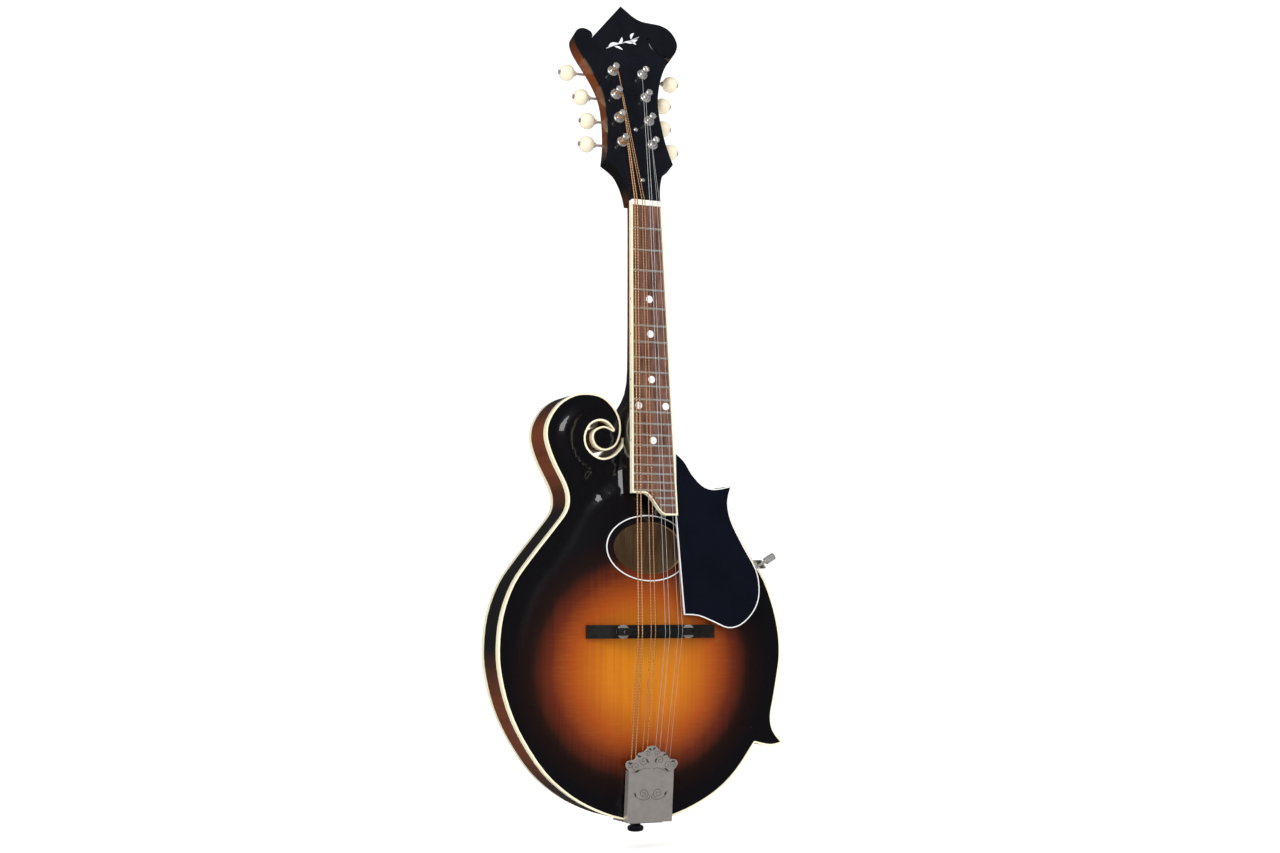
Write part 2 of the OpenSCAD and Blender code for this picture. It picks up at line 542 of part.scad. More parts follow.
module post_bushings() color([0.78, 0.78, 0.76]) row() on_head()
    for (p = posts) translate([p[0], p[1], 0]) difference() {
        union() {
            translate([0, 0, -9.9]) cylinder(h = 10, d = 8.1);
            translate([0, 0, 0.02]) cylinder(h = 1.3, d = 9.6);
        }
        translate([0, 0, -10.5]) cylinder(h = 13, d = 6.1);
    }

tooth = [[3.3, -8], [4.4, -2.6], [4.4, 2.6], [3.3, 8]];
module cog_2d() polygon([for (i = [0:cog_teeth - 1]) for (q = tooth)
    let (a = 90 + i * 360 / cog_teeth + q[1]) (q[0] + cog_radius - 4) * [cos(a), sin(a)]]);

module string_post(k) color([0.78, 0.78, 0.76]) row() on_head() translate([posts[k][0], posts[k][1], 0]) {
    g = gauges[k < 4 ? k : 11 - k];
    high = wrap_high[k % 4];
    difference() {
        union() {
            translate([0, 0, -worm_depth - 1.2]) cylinder(h = worm_depth + 2.8, d = 6);
            translate([0, 0, 1.5]) cylinder(h = 6.6, d = 4.4);
            translate([0, 0, 7.9]) cylinder(h = 1.5, d = 5.8);
        }
        translate([-5, 0, high - 0.2]) rotate([0, 90, 0]) cylinder(h = 10, d = 1.3);
        translate([0, 0, -worm_depth - 2]) cylinder(h = 4, d = 2.4);
    }
    difference() {
        turn = 2.4 * tan(lead_angle) / cog_radius * 180 / PI;
        translate([0, 0, -worm_depth - 1.2]) linear_extrude(2.4, twist = -turn, slices = 1)
            rotate(-turn / 2) cog_2d();
        translate([0, 0, -worm_depth - 3]) cylinder(h = 6, d = 6.04);
    }
    translate([0, 0, -worm_depth - 2.6]) {
        cylinder(h = 1.38, d = 4.6);
        cylinder(h = 4.4, d = 2.36);
    }
    for (i = [1:g > 0.9 ? 2 : 3]) translate([0, 0, high - i * (g + 0.04)]) ring(2.24 + g / 2, g);
}
module string_post_1() string_post(0);
module string_post_2() string_post(1);
module string_post_3() string_post(2);
module string_post_4() string_post(3);
module string_post_5() string_post(4);
module string_post_6() string_post(5);
module string_post_7() string_post(6);
module string_post_8() string_post(7);

// worm on its shaft, with the button's fixing screw at the outer end
module worm_shaft(k) color([0.7, 0.7, 0.68]) row() on_head()
    translate([posts[k][0], posts[k][1] + gear_gap, -worm_depth]) {
        s = sign(posts[k][0]);
        far = button_xs[k % 4] - post_x;
        rotate([0, 90 * s, 0]) {
            translate([0, 0, -7.4]) cylinder(h = far + 14.6, d = 2.2);
            translate([0, 0, -7.6]) cylinder(h = 0.9, d = 3.2);
            translate([0, 0, far + 6.55]) cylinder(h = 0.9, d = 4);
            translate([0, 0, far - 8.2]) cylinder(h = 1.6, d = 4.4);
        }
        loft([for (i = [-21:21]) let (a = 180 + i * 360 / 14, x = cog_pitch * (i / 14 + 0.5))
            [for (c = [[-0.52, 0.9], [0.52, 0.9], [0.2, 2.05], [-0.2, 2.05]])
                [x + c[0], c[1] * cos(a), c[1] * sin(a)]]]);
    }
module worm_shaft_1() worm_shaft(0);
module worm_shaft_2() worm_shaft(1);
module worm_shaft_3() worm_shaft(2);
module worm_shaft_4() worm_shaft(3);
module worm_shaft_5() worm_shaft(4);
module worm_shaft_6() worm_shaft(5);
module worm_shaft_7() worm_shaft(6);
module worm_shaft_8() worm_shaft(7);

module tuner_knob(k) color([0.93, 0.9, 0.8]) row() on_head()
    translate([sign(posts[k][0]) * button_xs[k % 4], posts[k][1] + gear_gap, -worm_depth])
    rotate([0, 90, 0]) difference() {
        intersection() {
            sphere(r = button_radius + 0.5);
            cylinder(h = 13, r = button_radius, center = true);
        }
        cylinder(h = 20, d = 2.22, center = true);
    }
module tuner_knob_1() tuner_knob(0);
module tuner_knob_2() tuner_knob(1);
module tuner_knob_3() tuner_knob(2);
module tuner_knob_4() tuner_knob(3);
module tuner_knob_5() tuner_knob(4);
module tuner_knob_6() tuner_knob(5);
module tuner_knob_7() tuner_knob(6);
module tuner_knob_8() tuner_knob(7);

soundboard();
back_plate();
ribs();
body_binding();
linings();
head_block();
tail_block();
tone_bar();
rosette();
neck();
headstock_overlay();
truss_rod();
truss_rod_nut();
truss_rod_cover();
fingerboard();
fingerboard_binding();
frets();
position_dots();
nut();
bridge_base();
bridge_saddle();
thumbwheel_bass();
thumbwheel_treble();
bridge_posts();
tailpiece_base();
tailpiece_cover();
tailpiece_screws();
end_pin();
pickguard();
pickguard_clamp();
tuner_plate_bass();
tuner_plate_treble();
tuner_screws();
post_bushings();
wound_strings();
plain_strings();
tuner_knob_1();
tuner_knob_2();
tuner_knob_3();
tuner_knob_4();
tuner_knob_5();
tuner_knob_6();
tuner_knob_7();
tuner_knob_8();
worm_shaft_1();
worm_shaft_2();
worm_shaft_3();
worm_shaft_4();
worm_shaft_5();
worm_shaft_6();
worm_shaft_7();
worm_shaft_8();
string_post_1();
string_post_2();
string_post_3();
string_post_4();
string_post_5();
string_post_6();
string_post_7();
string_post_8();
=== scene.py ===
"""Finish, detail and studio for a scroll-body mandolin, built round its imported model."""

import json
import math

import bmesh
import bpy
from mathutils import Matrix, Vector, kdtree


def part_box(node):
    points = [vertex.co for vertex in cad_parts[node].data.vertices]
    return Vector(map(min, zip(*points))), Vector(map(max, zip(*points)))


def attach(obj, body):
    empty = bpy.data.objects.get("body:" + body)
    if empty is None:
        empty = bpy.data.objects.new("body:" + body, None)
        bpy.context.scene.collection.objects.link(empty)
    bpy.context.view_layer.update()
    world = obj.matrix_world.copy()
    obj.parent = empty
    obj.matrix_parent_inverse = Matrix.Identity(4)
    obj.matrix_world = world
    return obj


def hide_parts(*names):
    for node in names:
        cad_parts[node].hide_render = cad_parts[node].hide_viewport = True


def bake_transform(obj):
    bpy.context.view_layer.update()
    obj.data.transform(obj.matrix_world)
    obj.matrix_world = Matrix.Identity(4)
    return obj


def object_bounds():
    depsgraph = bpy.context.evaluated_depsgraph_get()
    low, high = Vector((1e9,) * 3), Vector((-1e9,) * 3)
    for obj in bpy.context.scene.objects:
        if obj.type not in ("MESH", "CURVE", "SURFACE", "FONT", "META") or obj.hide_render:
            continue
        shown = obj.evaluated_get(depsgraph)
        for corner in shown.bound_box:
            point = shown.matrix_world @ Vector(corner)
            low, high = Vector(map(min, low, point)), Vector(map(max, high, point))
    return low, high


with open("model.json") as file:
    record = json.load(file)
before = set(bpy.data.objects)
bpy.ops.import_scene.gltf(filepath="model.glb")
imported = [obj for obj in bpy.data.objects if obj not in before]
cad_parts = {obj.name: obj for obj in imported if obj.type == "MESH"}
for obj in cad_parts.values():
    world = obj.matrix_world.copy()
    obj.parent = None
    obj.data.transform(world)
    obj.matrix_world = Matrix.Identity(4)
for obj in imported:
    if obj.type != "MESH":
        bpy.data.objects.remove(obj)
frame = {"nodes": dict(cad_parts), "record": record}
cad_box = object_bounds()

MM = 0.001
scene = bpy.context.scene
record = frame["record"]
BODY_OF = {n: body for body, nodes in record["behaviour"]["bodies"].items() for n in nodes}
SLOT_OF = {part["node"]: part["material_slot"] for part in record["subparts"]}


# ---------------------------------------------------------------- the design's own dimensions
# These repeat the drawing's bench frame: x across, y along the neck with 0 at the nut,
# z out of the face with 0 at the top edge of the sides, all in millimetres.
NECK_ANGLE = math.radians(3.4)
HEAD_ANGLE = math.radians(14)
NUT_HEIGHT = 7.3
HANGER_DEPTH = 11.3
SCALE_LENGTH = 352.4
RIM_DEPTH = 41
PLATE_THICK = 4
TOP_ARCH = 14
BACK_ARCH = 12
ARCH_MIDDLE = Vector((0, -365))
ARCH_REACH = [115, 113, 115, 130, 150, 133, 112, 115, 118, 120.5, 126, 131, 136, 131, 124, 117]
BRIDGE_Y = -356.5
FOOT_TOP = 21
STRING_HEIGHT = 32.4
WHEEL_X = 29
NUT_X = [-11.4, -9.2, -4.6, -2.4, 2.4, 4.6, 9.2, 11.4]
SADDLE_X = [-19.5, -16, -8.2, -4.4, 4.4, 8.2, 16, 19.5]
TAIL_X = [-16.5, -13, -7.2, -3.6, 3.6, 7.2, 13, 16.5]
GAUGES = [1.0, 1.0, 0.66, 0.66, 0.38, 0.38, 0.28, 0.28]
POST_OF_STRING = [0, 1, 2, 3, 7, 6, 5, 4]
POST_X = 14
POST_Y = 56.5
POST_STEP = 23.5
WRAP_HIGH = [4.4, 6.6, 6.2, 5.6]
SHANK_RADIUS = 2.24
WORM_Y = 5.6
WORM_Z = -18.4
BUTTON_X = [39, 35.5, 38.5, 49]


def bench(x, y, z):
    """A place in the bench frame, as a place in the row frame."""
    return Vector((x, -(z + HANGER_DEPTH), y - 1)) * MM


def from_neck(x, y, z):
    c, s = math.cos(NECK_ANGLE), math.sin(NECK_ANGLE)
    return x, y * c + z * s, NUT_HEIGHT - y * s + z * c


def from_head(x, y, z):
    c, s = math.cos(HEAD_ANGLE), math.sin(HEAD_ANGLE)
    return from_neck(x, y * c + z * s + 4.5, z * c - y * s - 2.5)


def on_neck(x, y, z):
    return bench(*from_neck(x, y, z))


def on_head(x, y, z):
    return bench(*from_head(x, y, z))


def on_cover(x, y, z):
    """A place on the tailpiece cover, whose top face is z = 0."""
    tilt = math.radians(6.2)
    c, s = math.cos(tilt), math.sin(tilt)
    return bench(x, y * c - z * s - 450, y * s + z * c + 15.3)


def placed(place):
    """The matrix that carries millimetres in a sloping frame, such as the headstock's, to the row frame."""
    origin = place(0, 0, 0)
    columns = [(place(*axis) - origin) for axis in ((1, 0, 0), (0, 1, 0), (0, 0, 1))]
    matrix = Matrix.Identity(4)
    for i, column in enumerate(columns):
        for j in range(3):
            matrix[j][i] = column[j]
    matrix.translation = origin
    return matrix


NECK = placed(on_neck)
HEAD = placed(on_head)
COVER = placed(on_cover)
BENCH = placed(bench)


def fret_y(n):
    return -SCALE_LENGTH * (1 - 2 ** (-n / 12))


def half_board(y):
    return (28 - y * 0.05) / 2


def spline(a, b, c, d, t):
    square = 2 * a - 5 * b + 4 * c - d
    cube = 3 * b - a - 3 * c + d
    return 0.5 * (2 * b + (c - a) * t + square * t * t + cube * t ** 3)


def arch_rise(x, y):
    """The height of the carved arch over the edge, from 0 to 1."""
    way = Vector((x, y)) - ARCH_MIDDLE
    turn = (math.degrees(math.atan2(way.y, way.x)) % 360) / 22.5
    i = int(turn)
    reach = spline(*(ARCH_REACH[(i + k) % 16] for k in (-1, 0, 1, 2)), turn - i)
    t = min(way.length / reach, 1)
    return max(1 - t ** 2.4, 0) ** 1.35


def smooth_step(t):
    t = min(max(t, 0), 1)
    return t * t * (3 - 2 * t)


# ---------------------------------------------------------------- camera, light and floor
CAMERA_PLACE = (-0.6343, -1.4659, -0.3472)
CAMERA_TURN = (95.760, 0.179, -23.422)
CAMERA_LENS = 53.66


def add_camera():
    data = bpy.data.cameras.new("camera")
    data.lens = CAMERA_LENS
    data.sensor_width = 36
    data.clip_start = 0.05
    camera = bpy.data.objects.new("camera", data)
    camera.location = CAMERA_PLACE
    camera.rotation_euler = [math.radians(a) for a in CAMERA_TURN]
    scene.collection.objects.link(camera)
    scene.camera = camera


def add_softbox(name, place, target, size, power, mirrored=True):
    data = bpy.data.lights.new(name, "AREA")
    data.shape = "RECTANGLE"
    data.size, data.size_y = size
    data.energy = power
    light = bpy.data.objects.new(name, data)
    light.location = place
    light.rotation_euler = (Vector(target) - Vector(place)).to_track_quat("-Z", "Y").to_euler()
    light.visible_camera = False
    light.visible_glossy = mirrored
    scene.collection.objects.link(light)


def add_world():
    """A white studio: bright behind the object, softer in what the object reflects."""
    world = bpy.data.worlds.new("studio")
    world.use_nodes = True
    nodes, links = world.node_tree.nodes, world.node_tree.links
    nodes.clear()
    out = nodes.new("ShaderNodeOutputWorld")
    path = nodes.new("ShaderNodeLightPath")
    for strength, ray in ((0.04, None), (0.85, "Is Diffuse Ray"), (1.15, "Is Camera Ray")):
        background = nodes.new("ShaderNodeBackground")
        background.inputs["Strength"].default_value = strength
        background.inputs["Color"].default_value = (1, 1, 1, 1)
        if ray is None:
            shader = background
            continue
        mix = nodes.new("ShaderNodeMixShader")
        links.new(path.outputs[ray], mix.inputs["Fac"])
        links.new(shader.outputs[0], mix.inputs[1])
        links.new(background.outputs[0], mix.inputs[2])
        shader = mix
    links.new(shader.outputs[0], out.inputs["Surface"])
    scene.world = world


def add_floor():
    bm = bmesh.new()
    bmesh.ops.create_circle(bm, cap_ends=True, segments=96, radius=6)
    bmesh.ops.translate(bm, verts=bm.verts, vec=(0, 0, cad_box[0].z - 0.012))
    mesh = bpy.data.meshes.new("floor")
    bm.to_mesh(mesh)
    bm.free()
    floor = bpy.data.objects.new("floor", mesh)
    scene.collection.objects.link(floor)
    floor.data.materials.append(MATERIALS["floor_paper"])
    floor.visible_glossy = False


# ---------------------------------------------------------------- shader groups
def new_group(name, inputs, outputs):
    tree = bpy.data.node_groups.new(name, "ShaderNodeTree")
    for socket, kind, value in inputs:
        item = tree.interface.new_socket(name=socket, in_out="INPUT", socket_type=kind)
        item.default_value = value
    for socket, kind in outputs:
        tree.interface.new_socket(name=socket, in_out="OUTPUT", socket_type=kind)
    return tree, tree.nodes.new("NodeGroupInput"), tree.nodes.new("NodeGroupOutput")


def math_node(tree, operation, a, b=None, clamp=False):
    node = tree.nodes.new("ShaderNodeMath")
    node.operation = operation
    node.use_clamp = clamp
    for socket, value in zip(node.inputs, (a, b)):
        if isinstance(value, bpy.types.NodeSocket):
            tree.links.new(value, socket)
        elif value is not None:
            socket.default_value = value
    return node.outputs[0]


def mix_color(tree, factor, a, b):
    node = tree.nodes.new("ShaderNodeMix")
    node.data_type = "RGBA"
    for socket, value in zip((node.inputs[0], node.inputs[6], node.inputs[7]), (factor, a, b)):
        if isinstance(value, bpy.types.NodeSocket):
            tree.links.new(value, socket)
        else:
            socket.default_value = value
    return node.outputs[2]


def ramp(tree, factor, stops):
    node = tree.nodes.new("ShaderNodeValToRGB")
    elements = node.color_ramp.elements
    while len(elements) < len(stops):
        elements.new(0.5)
    for element, (position, color) in zip(elements, stops):
        element.position = position
        element.color = (*color, 1) if len(color) == 3 else color
    tree.links.new(factor, node.inputs[0])
    return node.outputs[0]


def object_place(tree):
    return tree.nodes.new("ShaderNodeTexCoord").outputs["Object"]


def stretched(tree, vector, scale):
    node = tree.nodes.new("ShaderNodeMapping")
    tree.links.new(vector, node.inputs["Vector"])
    if isinstance(scale, bpy.types.NodeSocket):
        tree.links.new(scale, node.inputs["Scale"])
    else:
        node.inputs["Scale"].default_value = scale
    return node.outputs[0]


def noise(tree, vector, scale=1.0, detail=3.0, roughness=0.55):
    node = tree.nodes.new("ShaderNodeTexNoise")
    node.inputs["Scale"].default_value = scale
    node.inputs["Detail"].default_value = detail
    node.inputs["Roughness"].default_value = roughness
    tree.links.new(vector, node.inputs["Vector"])
    return node.outputs[0]


def make_grain_group():
    """Grain lines and pores: noise drawn out along the wood, as a mask and a height."""
    tree, source, out = new_group(
        "wood_grain",
        [("Stretch", "NodeSocketVector", (700, 700, 9)), ("Pores", "NodeSocketVector", (2600, 2600, 70))],
        [("Grain", "NodeSocketFloat"), ("Pore", "NodeSocketFloat")])
    place = object_place(tree)
    broad = noise(tree, stretched(tree, place, source.outputs["Stretch"]), 1, 4, 0.6)
    fine = noise(tree, stretched(tree, place, source.outputs["Pores"]), 1, 2, 0.5)
    wide = math_node(tree, "SUBTRACT", broad, 0.34)
    tree.links.new(math_node(tree, "MULTIPLY", wide, 3.1, clamp=True), out.inputs["Grain"])
    tree.links.new(math_node(tree, "GREATER_THAN", fine, 0.63), out.inputs["Pore"])
    return tree


def make_burst_group():
    """Distance from the middle of a shaded burst, 0 in the middle and 1 where the shading is full."""
    tree, source, out = new_group(
        "burst_distance",
        [("Middle", "NodeSocketVector", (0, 0, 0)), ("Reach", "NodeSocketVector", (9, 0, 9)),
         ("Wander", "NodeSocketFloat", 0.05)],
        [("Distance", "NodeSocketFloat")])
    place = object_place(tree)
    away = tree.nodes.new("ShaderNodeVectorMath")
    away.operation = "SUBTRACT"
    tree.links.new(place, away.inputs[0])
    tree.links.new(source.outputs["Middle"], away.inputs[1])
    scaled = tree.nodes.new("ShaderNodeVectorMath")
    scaled.operation = "MULTIPLY"
    tree.links.new(away.outputs[0], scaled.inputs[0])
    tree.links.new(source.outputs["Reach"], scaled.inputs[1])
    length = tree.nodes.new("ShaderNodeVectorMath")
    length.operation = "LENGTH"
    tree.links.new(scaled.outputs[0], length.inputs[0])
    drift = math_node(tree, "SUBTRACT", noise(tree, place, 22, 2), 0.5)
    moved = math_node(tree, "MULTIPLY", drift, source.outputs["Wander"])
    tree.links.new(math_node(tree, "ADD", length.outputs["Value"], moved), out.inputs["Distance"])
    return tree


def make_handled_group():
    """Faint smears and specks that touching leaves on a polished face."""
    tree, source, out = new_group(
        "handling_marks",
        [("Smear Scale", "NodeSocketFloat", 45.0), ("Roughness", "NodeSocketFloat", 0.1),
         ("Amount", "NodeSocketFloat", 0.08)],
        [("Roughness", "NodeSocketFloat"), ("Height", "NodeSocketFloat")])
    place = object_place(tree)
    smear = tree.nodes.new("ShaderNodeTexNoise")
    smear.inputs["Detail"].default_value = 5
    smear.inputs["Distortion"].default_value = 0.8
    tree.links.new(place, smear.inputs["Vector"])
    tree.links.new(source.outputs["Smear Scale"], smear.inputs["Scale"])
    lifted = math_node(tree, "MULTIPLY", smear.outputs[0], source.outputs["Amount"])
    tree.links.new(math_node(tree, "ADD", lifted, source.outputs["Roughness"]), out.inputs["Roughness"])
    tree.links.new(noise(tree, place, 900, 3, 0.6), out.inputs["Height"])
    return tree


GRAIN = make_grain_group()
BURST = make_burst_group()
HANDLED = make_handled_group()


# ---------------------------------------------------------------- materials
MATERIALS = {}


def use_group(tree, group, **values):
    node = tree.nodes.new("ShaderNodeGroup")
    node.node_tree = group
    for name, value in values.items():
        node.inputs[name.replace("_", " ")].default_value = value
    return node


def new_material(name, metallic=0.0, coat=0.0, coat_roughness=0.03, ior=1.5, roughness=0.3,
                 smear=0.08, smear_scale=45.0, bump=0.02):
    """A principled finish whose roughness and fine relief carry the handling marks."""
    material = MATERIALS[name] = bpy.data.materials.new(name)
    material.use_nodes = True
    tree = material.node_tree
    shader = tree.nodes["Principled BSDF"]
    shader.inputs["Metallic"].default_value = metallic
    shader.inputs["Coat Weight"].default_value = coat
    shader.inputs["Specular IOR Level"].default_value = 0.15 if coat > 0.7 else 0.5
    shader.inputs["Coat Roughness"].default_value = coat_roughness
    shader.inputs["IOR"].default_value = ior
    marks = use_group(tree, HANDLED, Roughness=roughness, Amount=smear, Smear_Scale=smear_scale)
    tree.links.new(marks.outputs["Roughness"], shader.inputs["Roughness"])
    relief = tree.nodes.new("ShaderNodeBump")
    relief.inputs["Strength"].default_value = bump
    relief.inputs["Distance"].default_value = 0.0004
    tree.links.new(marks.outputs["Height"], relief.inputs["Height"])
    tree.links.new(relief.outputs[0], shader.inputs["Normal"])
    return tree, shader, relief


def set_color(tree, shader, color):
    if isinstance(color, bpy.types.NodeSocket):
        tree.links.new(color, shader.inputs["Base Color"])
    else:
        shader.inputs["Base Color"].default_value = (*color, 1)


SHADE_STOPS = [(0.0, (0.62, 0.215, 0.004)), (0.30, (0.54, 0.160, 0.003)), (0.54, (0.32, 0.054, 0.002)),
               (0.70, (0.090, 0.009, 0.002)), (0.82, (0.012, 0.003, 0.002)), (1.0, (0.0030, 0.0024, 0.004))]


def spruce_top():
    tree, shader, _ = new_material("spruce_top", coat=1.0, roughness=0.34, smear=0.05)
    burst = use_group(tree, BURST, Middle=(-0.004, 0, -0.387), Reach=(1 / 0.116, 0, 1 / 0.112))
    shade = ramp(tree, burst.outputs["Distance"], SHADE_STOPS)
    grain = use_group(tree, GRAIN, Stretch=(850, 60, 5), Pores=(2400, 300, 60))
    silk = noise(tree, stretched(tree, object_place(tree), (70, 70, 1100)), 1, 2)
    silk_mask = math_node(tree, "MULTIPLY", math_node(tree, "SUBTRACT", silk, 0.5, clamp=True), 1.6)
    darker = mix_color(tree, math_node(tree, "MULTIPLY", grain.outputs["Grain"], 0.34), shade,
                       (0.20, 0.045, 0.002, 1))
    covered = mix_color(tree, ramp(tree, burst.outputs["Distance"], [(0.62, (0, 0, 0)), (0.86, (1, 1, 1))]),
                        darker, shade)
    lit = mix_color(tree, math_node(tree, "MULTIPLY", silk_mask, 0.10), covered, (0.80, 0.40, 0.06, 1))
    shaded = mix_color(tree, ramp(tree, burst.outputs["Distance"], [(0.6, (0, 0, 0)), (0.8, (1, 1, 1))]),
                       lit, covered)
    set_color(tree, shader, shaded)


def shaded_maple(name, stretch, flame, light_place, light_reach, light=(0.30, 0.085, 0.018),
                 mid=(0.13, 0.028, 0.008), dark=(0.006, 0.004, 0.005)):
    """Figured maple under a dark shaded lacquer that opens to brown at light_place."""
    tree, shader, _ = new_material(name, coat=1.0, roughness=0.32, smear=0.05)
    burst = use_group(tree, BURST, Middle=light_place, Reach=light_reach, Wander=0.12)
    shade = ramp(tree, burst.outputs["Distance"], [(0.0, light), (0.45, light), (0.74, mid), (1.0, dark)])
    figure = noise(tree, stretched(tree, object_place(tree), flame), 1, 2, 0.5)
    stripe = math_node(tree, "MULTIPLY", math_node(tree, "SUBTRACT", figure, 0.5), 2.2, clamp=True)
    grain = use_group(tree, GRAIN, Stretch=stretch, Pores=tuple(3 * s for s in stretch))
    striped = mix_color(tree, math_node(tree, "MULTIPLY", stripe, 0.75), shade, (0.045, 0.010, 0.004, 1))
    grained = mix_color(tree, math_node(tree, "MULTIPLY", grain.outputs["Grain"], 0.18), striped,
                        (0.03, 0.008, 0.003, 1))
    set_color(tree, shader, grained)


def shaded_along(name, stretch, flame, stops):
    """Figured maple whose lacquer goes from brown to black along the instrument.
    stops are (z in mm, colour)."""
    tree, shader, _ = new_material(name, coat=1.0, roughness=0.32, smear=0.05)
    split = tree.nodes.new("ShaderNodeSeparateXYZ")
    tree.links.new(object_place(tree), split.inputs[0])
    first, last = stops[0][0], stops[-1][0]
    run = math_node(tree, "DIVIDE", math_node(tree, "SUBTRACT", split.outputs["Z"], first * MM),
                    (last - first) * MM, clamp=True)
    shade = ramp(tree, run, [((z - first) / (last - first), color) for z, color in stops])
    figure = noise(tree, stretched(tree, object_place(tree), flame), 1, 2, 0.5)
    stripe = math_node(tree, "MULTIPLY", math_node(tree, "SUBTRACT", figure, 0.5), 2.2, clamp=True)
    grain = use_group(tree, GRAIN, Stretch=stretch, Pores=tuple(3 * s for s in stretch))
    striped = mix_color(tree, math_node(tree, "MULTIPLY", stripe, 0.6), shade, (0.010, 0.004, 0.003, 1))
    lines = math_node(tree, "MULTIPLY", grain.outputs["Grain"], 0.18)
    set_color(tree, shader, mix_color(tree, lines, striped, (0.008, 0.004, 0.003, 1)))


BLACK_STAIN = (0.0040, 0.0032, 0.0040)
BROWN_STAIN = (0.17, 0.040, 0.008)
RUSSET_STAIN = (0.17, 0.040, 0.010)


def bare_wood():
    tree, shader, _ = new_material("inner_wood", roughness=0.62, smear=0.1, bump=0.12)
    grain = use_group(tree, GRAIN, Stretch=(500, 500, 8), Pores=(2000, 2000, 40))
    early, late = (0.42, 0.25, 0.12, 1), (0.27, 0.14, 0.06, 1)
    set_color(tree, shader, mix_color(tree, grain.outputs["Grain"], early, late))


def rosewood():
    tree, shader, relief = new_material("rosewood", roughness=0.40, smear=0.1, bump=0.05)
    grain = use_group(tree, GRAIN, Stretch=(520, 520, 7), Pores=(2600, 2600, 60))
    base = mix_color(tree, grain.outputs["Grain"], (0.235, 0.105, 0.068, 1), (0.060, 0.024, 0.018, 1))
    set_color(tree, shader, mix_color(tree, math_node(tree, "MULTIPLY", grain.outputs["Pore"], 0.55), base,
                                      (0.028, 0.012, 0.009, 1)))
    tree.links.new(math_node(tree, "SUBTRACT", 1.0, grain.outputs["Pore"]), relief.inputs["Height"])


def ebony():
    tree, shader, _ = new_material("ebony", roughness=0.30, smear=0.12, bump=0.05)
    grain = use_group(tree, GRAIN, Stretch=(9, 600, 600), Pores=(60, 2400, 2400))
    set_color(tree, shader, mix_color(tree, grain.outputs["Grain"], (0.0050, 0.0048, 0.0048, 1),
                                      (0.0150, 0.0130, 0.0120, 1)))


def mottled(name, light, dark, scale, **finish):
    """A cast or moulded material whose colour clouds between two close tones."""
    tree, shader, _ = new_material(name, **finish)
    cloud = noise(tree, object_place(tree), scale, 4, 0.6)
    spread = math_node(tree, "MULTIPLY", math_node(tree, "SUBTRACT", cloud, 0.32), 2.6, clamp=True)
    set_color(tree, shader, mix_color(tree, spread, (*dark, 1), (*light, 1)))


def ivoroid():
    """Cream celluloid, with the fine parallel grain of imitation ivory."""
    tree, shader, _ = new_material("button_ivoroid", coat=0.25, roughness=0.32, smear=0.1)
    lines = noise(tree, stretched(tree, object_place(tree), (90, 1500, 1500)), 1, 2)
    set_color(tree, shader, mix_color(tree, lines, (0.78, 0.69, 0.50, 1), (0.86, 0.79, 0.62, 1)))


def pearl():
    tree, shader, _ = new_material("pearl", coat=0.7, roughness=0.2, smear=0.1)
    swirl = noise(tree, object_place(tree), 420, 3, 0.6)
    set_color(tree, shader, ramp(tree, swirl, [(0.3, (0.52, 0.60, 0.66)), (0.5, (0.80, 0.82, 0.84)),
                                               (0.7, (0.84, 0.78, 0.80))]))


def wound_bronze(name, light, dark, turns_per_metre):
    """Round wire wound on a core: bands along the string, with relief; the dark half of each band is painted
    shade in the groove between turns.
    """
    tree, shader, relief = new_material(name, metallic=0.6, roughness=0.24, smear=0.1, bump=0.5)
    wave = tree.nodes.new("ShaderNodeTexWave")
    wave.bands_direction = "Z"
    wave.inputs["Scale"].default_value = turns_per_metre / 20
    tree.links.new(object_place(tree), wave.inputs["Vector"])
    # The dark colour is painted shade in the grooves between turns; the light colour is the bronze itself.
    set_color(tree, shader, mix_color(tree, wave.outputs["Fac"], (*dark, 1), (*light, 1)))
    tree.links.new(wave.outputs["Fac"], relief.inputs["Height"])


def floor_paper():
    """White paper, with a faint glow that keeps it white up to the horizon."""
    mottled("floor_paper", (0.93, 0.93, 0.93), (0.91, 0.91, 0.91), 2.0, roughness=0.85, smear=0.05)
    shader = MATERIALS["floor_paper"].node_tree.nodes["Principled BSDF"]
    shader.inputs["Emission Color"].default_value = (1, 1, 1, 1)
    shader.inputs["Emission Strength"].default_value = 0.30


def metal(name, light, dark, roughness, scale=160):
    mottled(name, light, dark, scale, metallic=0.7, roughness=roughness, smear=0.07, smear_scale=80.0)


